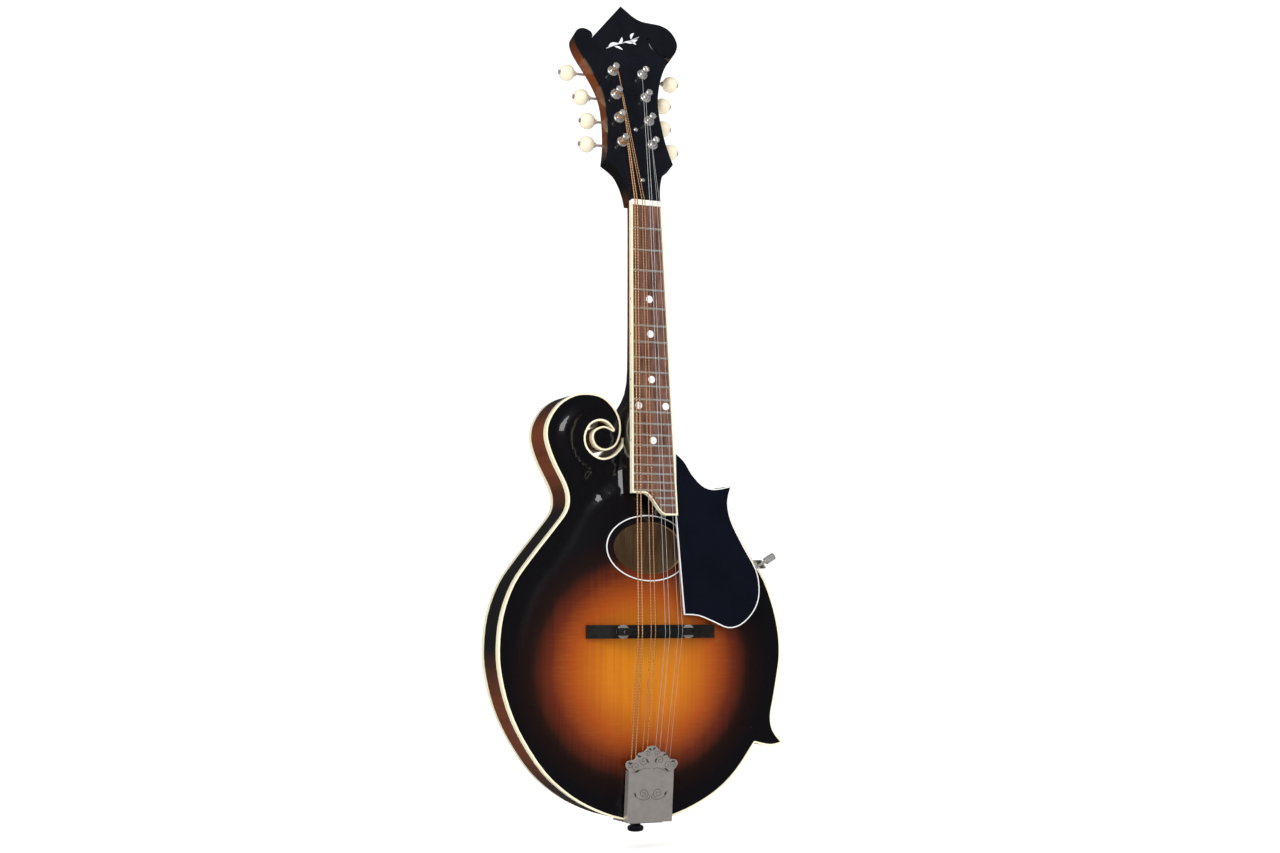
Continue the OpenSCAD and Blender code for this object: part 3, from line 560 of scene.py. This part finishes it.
def make_materials():
    spruce_top()
    shaded_along("maple", (600, 600, 6), (6, 6, 130), [
        (-300, BLACK_STAIN), (-150, BLACK_STAIN), (-115, BROWN_STAIN), (-25, BROWN_STAIN), (15, BLACK_STAIN),
        (38, BLACK_STAIN), (58, BROWN_STAIN), (135, BROWN_STAIN), (158, BLACK_STAIN), (190, BLACK_STAIN)])
    shaded_along("rib_maple", (60, 600, 60), (150, 3, 150), [
        (-520, BLACK_STAIN), (-495, BLACK_STAIN), (-462, RUSSET_STAIN), (-415, RUSSET_STAIN),
        (-370, BLACK_STAIN),
        (-262, BLACK_STAIN), (-228, RUSSET_STAIN), (-188, RUSSET_STAIN), (-165, BLACK_STAIN)])
    shaded_maple("back_maple", (600, 600, 6), (5, 5, 120), (0, 0, -0.37), (1 / 0.14, 0, 1 / 0.17),
                 light=(0.36, 0.10, 0.018))
    bare_wood()
    mottled("binding", (0.86, 0.80, 0.60), (0.80, 0.73, 0.52), 30, coat=0.8, roughness=0.3)
    ebony()
    rosewood()
    mottled("black_gloss", (0.0065, 0.0075, 0.012), (0.004, 0.0045, 0.007), 25, coat=1.0, roughness=0.25,
            smear=0.06)
    mottled("guard_black", (0.0030, 0.0042, 0.0100), (0.0020, 0.0028, 0.0070), 25, coat=1.0,
            roughness=0.2, smear=0.06)
    pearl()
    mottled("bone", (0.87, 0.85, 0.76), (0.80, 0.76, 0.64), 240, coat=0.2, roughness=0.35)
    ivoroid()
    metal("fret_metal", (0.74, 0.72, 0.66), (0.64, 0.62, 0.57), 0.20)
    metal("nickel", (0.76, 0.74, 0.71), (0.66, 0.64, 0.61), 0.13)
    metal("cover_nickel", (0.66, 0.61, 0.57), (0.56, 0.52, 0.48), 0.28)
    metal("engraved_nickel", (0.13, 0.115, 0.10), (0.07, 0.06, 0.055), 0.40)
    metal("steel", (0.60, 0.60, 0.61), (0.48, 0.48, 0.49), 0.30)
    wound_bronze("string_bronze", (0.86, 0.50, 0.26), (0.48, 0.24, 0.11), 2600)
    metal("string_steel", (0.86, 0.86, 0.87), (0.76, 0.76, 0.77), 0.38)
    mottled("silver_line", (0.80, 0.81, 0.80), (0.70, 0.71, 0.71), 300, coat=0.6, roughness=0.2)
    floor_paper()


make_materials()


# ---------------------------------------------------------------- piece helpers
def finish_piece(bm, name, body, slots, nodes=(), crease=32, bevel=0.0, segments=2):
    """Turns bm into a finished piece: smooth faces, sharp edges past crease degrees, one material a slot."""
    limit = math.radians(crease)
    for face in bm.faces:
        face.smooth = True
    for edge in bm.edges:
        edge.smooth = len(edge.link_faces) == 2 and edge.calc_face_angle(0) < limit
    mesh = bpy.data.meshes.new(name)
    bm.to_mesh(mesh)
    bm.free()
    piece = bpy.data.objects.new(name, mesh)
    scene.collection.objects.link(piece)
    for slot in slots:
        mesh.materials.append(MATERIALS[slot])
    if bevel:
        soften = piece.modifiers.new("soften", "BEVEL")
        soften.width = bevel * MM
        soften.segments = segments
        soften.limit_method = "ANGLE"
        soften.angle_limit = limit
        soften.harden_normals = True
        soften.use_clamp_overlap = True
    if body:
        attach(piece, body)
    if nodes:
        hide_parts(*nodes)
    return piece


def merged_copy(node, flat=0.4):
    """A node's mesh with its doubles merged and its flat triangles joined into whole faces."""
    bm = bmesh.new()
    bm.from_mesh(frame["nodes"][node].data)
    bmesh.ops.remove_doubles(bm, verts=bm.verts, dist=0.002 * MM)
    bmesh.ops.dissolve_degenerate(bm, edges=bm.edges, dist=0.002 * MM)
    bmesh.ops.dissolve_limit(bm, angle_limit=math.radians(flat), verts=bm.verts, edges=bm.edges)
    return bm


def refined(node, bevel=0.25, slots=None, name=None, **options):
    """The node's own shape, with eased edges and clean shading."""
    return finish_piece(merged_copy(node), name or f"{node}_finished", BODY_OF[node],
                        slots or [SLOT_OF[node]], [node], bevel=bevel, **options)


def lathe(profile, steps=32):
    """A closed turned solid round z, from (radius, height) points in millimetres."""
    bm = bmesh.new()
    verts = [bm.verts.new((r, 0, z)) for r, z in profile]
    edges = [bm.edges.new(pair) for pair in zip(verts, verts[1:])]
    bmesh.ops.spin(bm, geom=verts + edges, cent=(0, 0, 0), axis=(0, 0, 1), angle=2 * math.pi,
                   steps=steps, use_merge=True)
    bmesh.ops.remove_doubles(bm, verts=bm.verts, dist=0.001)
    bmesh.ops.recalc_face_normals(bm, faces=bm.faces)
    return bm


def tube(points, radius, sides=8, closed=False):
    """A round wire through points, in whatever unit they have."""
    curve = bpy.data.curves.new("wire", "CURVE")
    curve.dimensions = "3D"
    curve.bevel_depth = radius
    curve.bevel_resolution = max(sides // 2 - 2, 0)
    curve.use_fill_caps = not closed
    spline_ = curve.splines.new("POLY")
    spline_.points.add(len(points) - 1)
    for point, place in zip(spline_.points, points):
        point.co = (*place, 1)
    spline_.use_cyclic_u = closed
    carrier = bpy.data.objects.new("wire", curve)
    mesh = bpy.data.meshes.new_from_object(carrier)
    bm = bmesh.new()
    bm.from_mesh(mesh)
    bpy.data.objects.remove(carrier)
    bpy.data.meshes.remove(mesh)
    bpy.data.curves.remove(curve)
    bmesh.ops.remove_doubles(bm, verts=bm.verts, dist=radius * 0.01)
    bmesh.ops.recalc_face_normals(bm, faces=bm.faces)
    return bm


def joined(parts):
    """Several bmeshes as one."""
    whole = bmesh.new()
    for part in parts:
        mesh = bpy.data.meshes.new("part")
        part.to_mesh(mesh)
        part.free()
        whole.from_mesh(mesh)
        bpy.data.meshes.remove(mesh)
    return whole


def moved(bm, matrix):
    bmesh.ops.transform(bm, matrix=matrix, verts=bm.verts)
    return bm


def curve_through(points, steps):
    """A smooth run of points through a few chosen ones."""
    last = len(points) - 1
    run = []
    for i in range(last):
        near = [Vector(points[min(max(i + k, 0), last)]) for k in (-1, 0, 1, 2)]
        run += [spline(*near, k / steps) for k in range(steps)]
    return run + [Vector(points[last])]


# ---------------------------------------------------------------- carved plates
SCROLL_MIDDLE = Vector((-37, -197))
SCROLL_CREST = 3.0
EDGE_CHANNEL = 0.75
GRID = 3.2


def edge_finder(bm):
    """Nearest point of the plate's outline, from its open edges, in row x and z."""
    rim = [e for e in bm.edges if e.is_boundary]
    places = []
    for edge in rim:
        a, b = (v.co for v in edge.verts)
        count = max(int((b - a).length / (1.2 * MM)), 1)
        places += [a.lerp(b, i / count) for i in range(count)]
    finder = kdtree.KDTree(len(places))
    for i, place in enumerate(places):
        finder.insert((place.x, 0, place.z), i)
    finder.balance()
    return finder


def carved_height(x, y, from_edge, arch):
    """Height of a carved plate over its edge: the arch, the channel inside the edge and the scroll's crest."""
    channel = EDGE_CHANNEL * math.exp(-((from_edge - 8) / 4.5) ** 2) * (1 - arch_rise(x, y))
    out = (Vector((x, y)) - SCROLL_MIDDLE).length
    near_scroll = 1 - smooth_step((out - 44) / 26)
    on_ring = smooth_step((out - 14) / 9)
    crest = SCROLL_CREST * near_scroll * on_ring * smooth_step((from_edge - 5) / 12)
    button = 1.3 * (1 - smooth_step((out - 3) / 11))
    return arch * arch_rise(x, y) - channel + crest + button * near_scroll


def carved_plate(node, arch, facing, slots, name):
    """A smooth carved plate: the node's outer face, cut to a fine grid, set to its carved height
    and given its thickness again. facing is -1 for the front and 1 for the back."""
    bm = merged_copy(node, flat=0.05)
    away = [f for f in bm.faces if f.normal.y * facing < 0.35 or
            (facing * f.calc_center_median().y < facing * edge_level(facing) - 1.2 * MM)]
    bmesh.ops.delete(bm, geom=away, context="FACES")
    for vert in bm.verts:
        vert.co.y = 0
    low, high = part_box(node)
    for axis in (0, 2):
        count = int((high[axis] - low[axis]) / (GRID * MM))
        for i in range(1, count):
            place, way = Vector(), Vector()
            place[axis] = low[axis] + (high[axis] - low[axis]) * i / count
            way[axis] = 1
            bmesh.ops.bisect_plane(bm, geom=bm.verts[:] + bm.edges[:] + bm.faces[:], plane_co=place,
                                   plane_no=way, dist=0.01 * MM)
    bmesh.ops.remove_doubles(bm, verts=bm.verts, dist=0.02 * MM)
    bmesh.ops.triangulate(bm, faces=bm.faces, quad_method="BEAUTY", ngon_method="BEAUTY")
    finder = edge_finder(bm)
    for vert in bm.verts:
        from_edge = finder.find((vert.co.x, 0, vert.co.z))[2] / MM
        high_here = carved_height(vert.co.x / MM, vert.co.z / MM + 1, from_edge, arch)
        vert.co.y = edge_level(facing) + facing * high_here * MM
    for face in bm.faces:
        if face.normal.y * facing < 0:
            face.normal_flip()
    outer = bm.faces[:]
    shell = bmesh.ops.extrude_face_region(bm, geom=outer, use_keep_orig=True)
    inner = [v for v in shell["geom"] if isinstance(v, bmesh.types.BMVert)]
    bmesh.ops.translate(bm, verts=inner, vec=(0, -facing * (PLATE_THICK - 0.1) * MM, 0))
    bmesh.ops.recalc_face_normals(bm, faces=bm.faces)
    for face in bm.faces:
        face.material_index = 0 if face.normal.y * facing > 0.3 else 1
    piece = finish_piece(bm, name, BODY_OF[node], slots, [node], crease=40)
    set_carved_normals(piece, finder, arch, facing)


def set_carved_normals(piece, finder, arch, facing):
    """Shades the outer face by the slope of the carving itself, so that its grid never shows."""
    mesh = piece.data

    def height(x, z):
        return carved_height(x / MM, z / MM + 1, finder.find((x, 0, z))[2] / MM, arch) * MM

    slopes = {}
    normals = []
    step = 1.2 * MM
    for face in mesh.polygons:
        for i in face.vertices:
            if face.material_index:
                normals.append((0, 0, 0))
                continue
            if i not in slopes:
                x, _, z = mesh.vertices[i].co
                slopes[i] = Vector(((height(x - step, z) - height(x + step, z)) / (2 * step), facing,
                                    (height(x, z - step) - height(x, z + step)) / (2 * step))).normalized()
            normals.append(slopes[i])
    mesh.normals_split_custom_set(normals)


def edge_level(facing):
    """The row y of the plates' edges."""
    return -HANGER_DEPTH * MM if facing < 0 else (RIM_DEPTH - HANGER_DEPTH) * MM


# ---------------------------------------------------------------- strings and tuners
def nut_point(k):
    return on_neck(NUT_X[k], 0.2, 1.15 + GAUGES[k] / 2)


def behind_nut(k):
    return on_neck(NUT_X[k], 4.2, 0.95 + GAUGES[k] / 2)


def saddle_line(x):
    return BRIDGE_Y + (-1.2 if x < -12 else 0.8 if x < -2 else -0.2 if x < 12 else 1.4)


def saddle_point(k):
    return bench(SADDLE_X[k], saddle_line(SADDLE_X[k]) - 1.2, STRING_HEIGHT + 0.3 - GAUGES[k] / 2)


def tail_point(k):
    near = k % 2 == 0
    return bench(TAIL_X[k], -476 if near else -482, 7.4 if near else 6.8)


def post_place(p):
    """The post's middle on the headstock's face."""
    return (-1 if p < 4 else 1) * POST_X, POST_Y + p % 4 * POST_STEP


def post_point(k):
    p = POST_OF_STRING[k]
    x, y = post_place(p)
    side = math.copysign(1, x)
    return on_head(x - side * (SHANK_RADIUS + GAUGES[k] / 2), y, WRAP_HIGH[p % 4])


def resampled(a, b, step=4.0):
    """Points on the straight run from a to b, so that a bend across it stays smooth."""
    count = max(int((b - a).length / (step * MM)), 1)
    return [a.lerp(b, i / count) for i in range(count)]


def add_strings():
    for k, gauge in enumerate(GAUGES):
        slot = "string_bronze" if k < 4 else "string_steel"
        label = ("g_low", "g_high", "d_low", "d_high", "a_low", "a_high", "e_low", "e_high")[k]
        radius = gauge / 2 * MM
        saddle, nut, behind, post, tail = (f(k) for f in (saddle_point, nut_point, behind_nut,
                                                          post_point, tail_point))
        nodes = ["wound_strings"] if k == 0 else ["plain_strings"] if k == 4 else []
        front = resampled(saddle, nut) + [nut, behind, post]
        speaking = finish_piece(tube(front, radius), f"string_{label}", None, [slot], nodes, crease=70)
        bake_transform(speaking)
        afterlength = finish_piece(tube(resampled(tail, saddle) + [saddle], radius),
                                   f"string_{label}_afterlength", None, [slot], crease=70)
        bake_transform(afterlength)
        add_string_loop(k, label, slot, radius)


def add_string_loop(k, label, slot, radius):
    """The twisted tail of the string and the loop that drops over its hook."""
    tail = tail_point(k)
    way = (saddle_point(k) - tail).normalized()
    across = way.cross(Vector((0, 1, 0))).normalized()
    over = way.cross(across)
    hook = tail - way * 3.6 * MM
    ring = [hook + (way * math.cos(a) * 2.4 + across * math.sin(a) * 1.5) * MM
            for a in (math.tau * i / 20 for i in range(20))]
    twist = [tail + way * (i * 0.45 * MM - 1 * MM) +
             (across * math.cos(i * 1.1) + over * math.sin(i * 1.1)) * (2.0 * radius) for i in range(26)]
    fine = min(radius, 0.22 * MM)
    bm = joined([tube(ring, fine, closed=True), tube(twist, fine)])
    finish_piece(bm, f"string_{label}_loop", "instrument", [slot], crease=70)


def add_string_wraps():
    """Each string's turns round its post, going down from where it arrives, and its cut end."""
    for k, gauge in enumerate(GAUGES):
        p = POST_OF_STRING[k]
        x, y = post_place(p)
        high = WRAP_HIGH[p % 4]
        side = math.copysign(1, x)
        turns = 2.5 if k < 4 else 3.5
        reach = SHANK_RADIUS + gauge / 2
        start = math.pi if side > 0 else 0
        steps = int(turns * 20)
        coil = [Vector((x + reach * math.cos(start + side * math.tau * i / 20),
                        y + reach * math.sin(start + side * math.tau * i / 20),
                        high - i / 20 * gauge * 1.06)) for i in range(steps + 1)]
        through = [Vector((x - side * 2.6, y, high)), Vector((x, y, high - 0.15)),
                   Vector((x + side * 3.4, y + 0.3, high + 0.1)),
                   Vector((x + side * 4.4, y + 0.9, high + 0.7))]
        fine = gauge / 2
        bm = moved(joined([tube(coil, fine), tube(through, min(fine, 0.3))]), HEAD)
        finish_piece(bm, f"string_wrap_{p + 1}", f"post_{p + 1}",
                     ["string_bronze" if k < 4 else "string_steel"], crease=70)


def without_wraps(bm, p):
    """Takes the plain wrap rings out of a post's copy, since each post gets real turns."""
    x, y = post_place(p)
    inverse = HEAD.inverted()
    seen, rings = set(), []
    for first in bm.verts:
        if first in seen:
            continue
        island, queue = [], [first]
        seen.add(first)
        while queue:
            vert = queue.pop()
            island.append(vert)
            for edge in vert.link_edges:
                other = edge.other_vert(vert)
                if other not in seen:
                    seen.add(other)
                    queue.append(other)
        local = [inverse @ v.co for v in island]
        inner = min(math.hypot(q.x - x, q.y - y) for q in local)
        if inner > 2.1 and min(q.z for q in local) > 0:
            rings += island
    bmesh.ops.delete(bm, geom=rings, context="VERTS")
    return bm


def add_posts():
    for p in range(8):
        node = f"string_post_{p + 1}"
        x, y = post_place(p)
        cap = lathe([(0, 9.2), (2.9, 9.2), (2.86, 9.55), (2.3, 9.95), (1.3, 10.2), (0, 10.25)], 36)
        slot = bmesh.new()
        slot_size = Matrix.Diagonal((7, 0.7, 0.9, 1))
        bmesh.ops.create_cube(slot, size=1, matrix=Matrix.Translation((0, 0, 10.3)) @ slot_size)
        turned = HEAD @ Matrix.Translation((x, y, 0)) @ Matrix.Rotation(0.5 + 1.1 * p, 4, "Z")
        bm = joined([without_wraps(merged_copy(node), p), moved(cut_away(cap, slot), turned)])
        finish_piece(bm, f"{node}_finished", BODY_OF[node], ["nickel"], [node], crease=28, bevel=0.18)


def button_profile():
    """Half outline of a tuner button along its shaft: a full barrel with a short collar."""
    half, radius, squareness = 6.5, 7.0, 2.25
    angles = [math.pi * i / 22 for i in range(23)]
    outline = [(radius * math.sin(a) ** (2 / squareness),
                -half * math.copysign(abs(math.cos(a)) ** (2 / squareness), math.cos(a))) for a in angles]
    collar = [(1.15, -half - 0.5), (2.5, -half - 0.5), (2.9, -half + 0.1)]
    middle = [q for q in outline if q[0] > 2.9]
    return collar + middle + [(2.3, half - 0.05), (1.15, half - 0.1), (1.15, -half - 0.5)]


def add_buttons():
    for p in range(8):
        node = f"tuner_knob_{p + 1}"
        x, y = post_place(p)
        side = math.copysign(1, x)
        turn = Matrix.Rotation(side * math.pi / 2, 4, "Y")
        place = Matrix.Translation((side * BUTTON_X[p % 4], y + WORM_Y, WORM_Z))
        bm = moved(lathe(button_profile(), 40), HEAD @ place @ turn)
        finish_piece(bm, f"tuner_button_{p + 1}", BODY_OF[node], ["button_ivoroid"], [node], crease=35)


def add_bushings():
    """Turned bushings, each with a round-shouldered flange on the headstock's face."""
    profile = [(3.08, -9.8), (4.05, -9.8), (4.05, 0.03), (4.8, 0.03), (4.8, 0.45), (4.55, 0.9), (4.0, 1.2),
               (3.5, 1.3), (3.08, 1.15), (3.08, -9.8)]
    parts = []
    for p in range(8):
        x, y = post_place(p)
        parts.append(moved(lathe(profile, 36), HEAD @ Matrix.Translation((x, y, 0))))
    finish_piece(joined(parts), "post_bushings_turned", "instrument", ["nickel"], ["post_bushings"], crease=40)


# ---------------------------------------------------------------- trim
def add_pickguard():
    """The black plate with a thin white line inlaid round its edge."""
    bm = merged_copy("pickguard")
    faces = [f for f in bm.faces if f.normal.y < -0.9]
    ring = bmesh.ops.inset_region(bm, faces=faces, thickness=0.9 * MM, use_even_offset=True)
    for face in bm.faces:
        side = abs(face.normal.y) < 0.5
        face.material_index = 1 if side else 0
    for face in ring["faces"]:
        face.material_index = 1
    finish_piece(bm, "pickguard_bound", "instrument", ["guard_black", "silver_line"], ["pickguard"])


def add_side_dots():
    """Small dark dots in the bass-side binding, at the frets that carry position marks."""
    places = [(fret_y(n) + fret_y(n - 1)) / 2 for n in (5, 7, 10, 15)]
    middle = (fret_y(12) + fret_y(11)) / 2
    parts = []
    for y in places + [middle - 2.4, middle + 2.4]:
        bm = lathe([(0, -0.4), (0.75, -0.4), (0.75, 0.03), (0.6, 0.07), (0, 0.07)], 20)
        slope = Matrix.Translation((-half_board(y), y, -2.5)) @ Matrix.Rotation(-math.pi / 2, 4, "Y")
        parts.append(moved(bm, NECK @ slope))
    finish_piece(joined(parts), "side_dots", "instrument", ["ebony"])


def leaf(length, width, bend, height=0.12):
    """A pointed leaf that lies along x, bowed sideways, in millimetres."""
    count = 14
    bm = bmesh.new()
    bmesh.ops.create_grid(bm, x_segments=count, y_segments=4, size=0.5)
    for vert in bm.verts:
        t = vert.co.x + 0.5
        half = width * math.sin(math.pi * t) ** 0.8
        vert.co.y = vert.co.y * half + bend * math.sin(math.pi * t)
        vert.co.x = t * length
    bmesh.ops.remove_doubles(bm, verts=bm.verts, dist=0.01)
    grown = bmesh.ops.extrude_face_region(bm, geom=bm.faces[:], use_keep_orig=True)
    top = [v for v in grown["geom"] if isinstance(v, bmesh.types.BMVert)]
    bmesh.ops.translate(bm, verts=top, vec=(0, 0, height))
    bmesh.ops.recalc_face_normals(bm, faces=bm.faces)
    return bm


def add_headstock_inlay():
    """A plain spray of leaves in pearl, let into the headstock's face."""
    sprays = [(-15, 151, 28, 12, 3.0, 1.6), (-5, 156, 60, 9, 2.6, -1.2), (1, 159, 18, 14, 3.0, -1.4),
              (8, 162.5, 62, 8, 2.4, 1.1), (-9, 153, -18, 8, 2.2, 0.9), (5, 160.5, -22, 8, 2.2, 0.9)]
    parts = []
    for x, y, turn, length, width, bend in sprays:
        place = Matrix.Translation((x, y, -0.06)) @ Matrix.Rotation(math.radians(turn), 4, "Z")
        parts.append(moved(leaf(length, width, bend), place))
    stem = curve_through([(-17, 150, 0.03), (-6, 155.5, 0.03), (4, 159.5, 0.03), (16, 166, 0.03)], 8)
    parts.append(tube(stem, 0.26, 6))
    finish_piece(moved(joined(parts), HEAD), "headstock_leaf_inlay", "instrument", ["pearl"])


def spiral(x, y, turns, start, size, hand=1, steps=40):
    """An opening scroll line on the cover."""
    run = []
    for i in range(steps + 1):
        t = i / steps
        angle = start + hand * turns * math.tau * t
        run.append(Vector((x + size * t ** 0.8 * math.cos(angle), y + size * t ** 0.8 * math.sin(angle), 0)))
    return run


def add_cover_engraving():
    """Scrolls and leaves cut into the cover's scalloped end, and a plain scroll in its middle."""
    lines = []
    for hand in (-1, 1):
        lines += [spiral(hand * 7.2, -11, 1.6, 0.4, 3.8, hand), spiral(hand * 14, -15.2, 1.4, 2.0, 3.4, -hand),
                  spiral(hand * 4, -5.6, 1.2, 1.2, 2.6, -hand), spiral(hand * 19.6, -15.4, 1.2, 0.6, 2.1, hand),
                  spiral(hand * 6.4, -37.8, 1.7, math.pi * (hand < 0), 4.2, hand)]
        border = ((1, -18), (5, -17), (9, -18.2), (13, -20.4), (17.6, -20))
        lines.append([Vector((hand * x, y, 0)) for x, y in border])
        lines.append(curve_through([(hand * 2.2, -38, 0), (hand * 1, -41.5, 0), (hand * 6, -43, 0),
                                    (hand * 12, -41, 0), (hand * 15, -36.5, 0)], 6))
    parts = [tube(line, 0.16, 6) for line in lines]
    for hand in (-1, 1):
        for x, y, turn, length in ((9.5, -7.6, 20, 4.5), (2.6, -13, 60, 4.5), (10.8, -17.8, -30, 5),
                                   (17, -12.8, 10, 4), (0.6, -2.6, 40, 3), (12.8, -40.6, 75, 4)):
            turn_ = math.radians(turn if hand > 0 else 180 - turn)
            place = Matrix.Translation((hand * x, y, -0.1)) @ Matrix.Rotation(turn_, 4, "Z")
            parts.append(moved(leaf(length, 1.5, 0.4, 0.2), place))
    finish_piece(moved(joined(parts), COVER), "cover_engraving", "tail_cover", ["engraved_nickel"])


def cut_away(bm, cutter_bm):
    """What is left of bm after the closed solid cutter_bm is cut out of it."""
    block, cutter = (bpy.data.objects.new(name, bpy.data.meshes.new(name)) for name in ("block", "cutter"))
    for thing, shape in ((block, bm), (cutter, cutter_bm)):
        shape.to_mesh(thing.data)
        shape.free()
        scene.collection.objects.link(thing)
    carve = block.modifiers.new("carve", "BOOLEAN")
    carve.operation = "DIFFERENCE"
    carve.object = cutter
    cut = bpy.data.meshes.new_from_object(block.evaluated_get(bpy.context.evaluated_depsgraph_get()))
    left = bmesh.new()
    left.from_mesh(cut)
    bpy.data.meshes.remove(cut)
    for thing in (block, cutter):
        bpy.data.objects.remove(thing)
    return left


def add_headstock_face():
    """The headstock's facing, with the crescent cut that parts its scroll from its shoulder."""
    route = curve_through([(24.6, 166, 0.3), (24.9, 160.5, 0.3), (27, 155.8, 0.3), (30.4, 152.2, 0.3),
                           (34.4, 149.9, 0.3), (39.5, 147.6, 0.3)], 6)
    bm = cut_away(merged_copy("headstock_overlay"), moved(tube(route, 1.8, 14), HEAD))
    finish_piece(bm, "headstock_overlay_finished", "instrument", ["black_gloss"], ["headstock_overlay"])


def threaded_post(x):
    """A bridge post with a real thread, cut as a fine stack of ridges."""
    profile = [(0, FOOT_TOP - 5), (1.75, FOOT_TOP - 5)]
    z = FOOT_TOP - 4.6
    while z < FOOT_TOP + 6.4:
        profile += [(1.72, z), (1.98, z + 0.35)]
        z += 0.7
    profile += [(1.7, FOOT_TOP + 6.7), (1.4, FOOT_TOP + 7), (0, FOOT_TOP + 7)]
    return moved(lathe(profile, 28), BENCH @ Matrix.Translation((x, BRIDGE_Y, 0)))


def add_bridge():
    refined("bridge_base", bevel=0.6, segments=3)
    refined("bridge_saddle", bevel=0.35, segments=3)
    finish_piece(joined([threaded_post(s * WHEEL_X) for s in (-1, 1)]), "bridge_posts_threaded", "instrument",
                 ["nickel"], ["bridge_posts"], crease=70)
    for node in ("thumbwheel_bass", "thumbwheel_treble"):
        refined(node, bevel=0.15)


def add_end_pin():
    profile = [(0, -16), (3.4, -16), (3.7, 1.5), (5.2, 1.8), (5.2, 2.6), (4.2, 3.6), (4.2, 4.4), (5.2, 5.0),
               (6.3, 5.5), (6.7, 6.2), (6.7, 8.0), (6.3, 9.0), (5.4, 9.7), (3, 10.2), (0, 10.4)]
    place = Matrix.Translation((0, -511, -RIM_DEPTH / 2)) @ Matrix.Rotation(math.pi / 2, 4, "X")
    finish_piece(moved(lathe(profile, 48), BENCH @ place), "end_pin_turned", "instrument", ["black_gloss"],
                 ["end_pin"], crease=50)


EASED = {
    "head_block": 0, "tail_block": 0, "linings": 0, "tone_bar": 0, "rosette": 0, "neck": 0.3,
    "truss_rod": 0, "truss_rod_nut": 0.2, "truss_rod_cover": 0.3, "fingerboard": 0, "fingerboard_binding": 0.12,
    "frets": 0.08, "position_dots": 0, "nut": 0.25, "tailpiece_base": 0.2,
    "tailpiece_screws": 0.1, "tuner_plate_bass": 0.2, "tuner_plate_treble": 0.2, "tuner_screws": 0.08,
    "body_binding": 0.35,
}


def add_all_pieces():
    carved_plate("soundboard", TOP_ARCH, -1, ["spruce_top", "inner_wood"], "soundboard_carved")
    carved_plate("back_plate", BACK_ARCH, 1, ["back_maple", "inner_wood"], "back_carved")
    refined("ribs", bevel=0, slots=["rib_maple"])
    for node, bevel in EASED.items():
        refined(node, bevel=bevel)
    for i in range(1, 9):
        refined(f"worm_shaft_{i}", bevel=0.06)
    refined("tailpiece_cover", bevel=0.3, slots=["cover_nickel"])
    add_headstock_face()
    add_pickguard()
    refined("pickguard_clamp", bevel=0.25)
    add_bridge()
    add_end_pin()
    add_posts()
    add_buttons()
    add_bushings()
    add_strings()
    add_string_wraps()
    add_side_dots()
    add_headstock_inlay()
    add_cover_engraving()


# ---------------------------------------------------------------- the scene
scene.view_settings.view_transform = "Standard"
add_camera()
add_world()
add_floor()
MIDDLE = (0, 0, -0.3)
add_softbox("key_light", (-1.6, -2.2, 1.3), MIDDLE, (1.4, 1.8), 46)
add_softbox("fill_light", (2.4, -2.0, 0.2), MIDDLE, (1.2, 2.0), 20, mirrored=False)
add_softbox("back_light", (0.6, 2.4, 0.9), MIDDLE, (2.0, 1.6), 30, mirrored=False)
add_all_pieces()
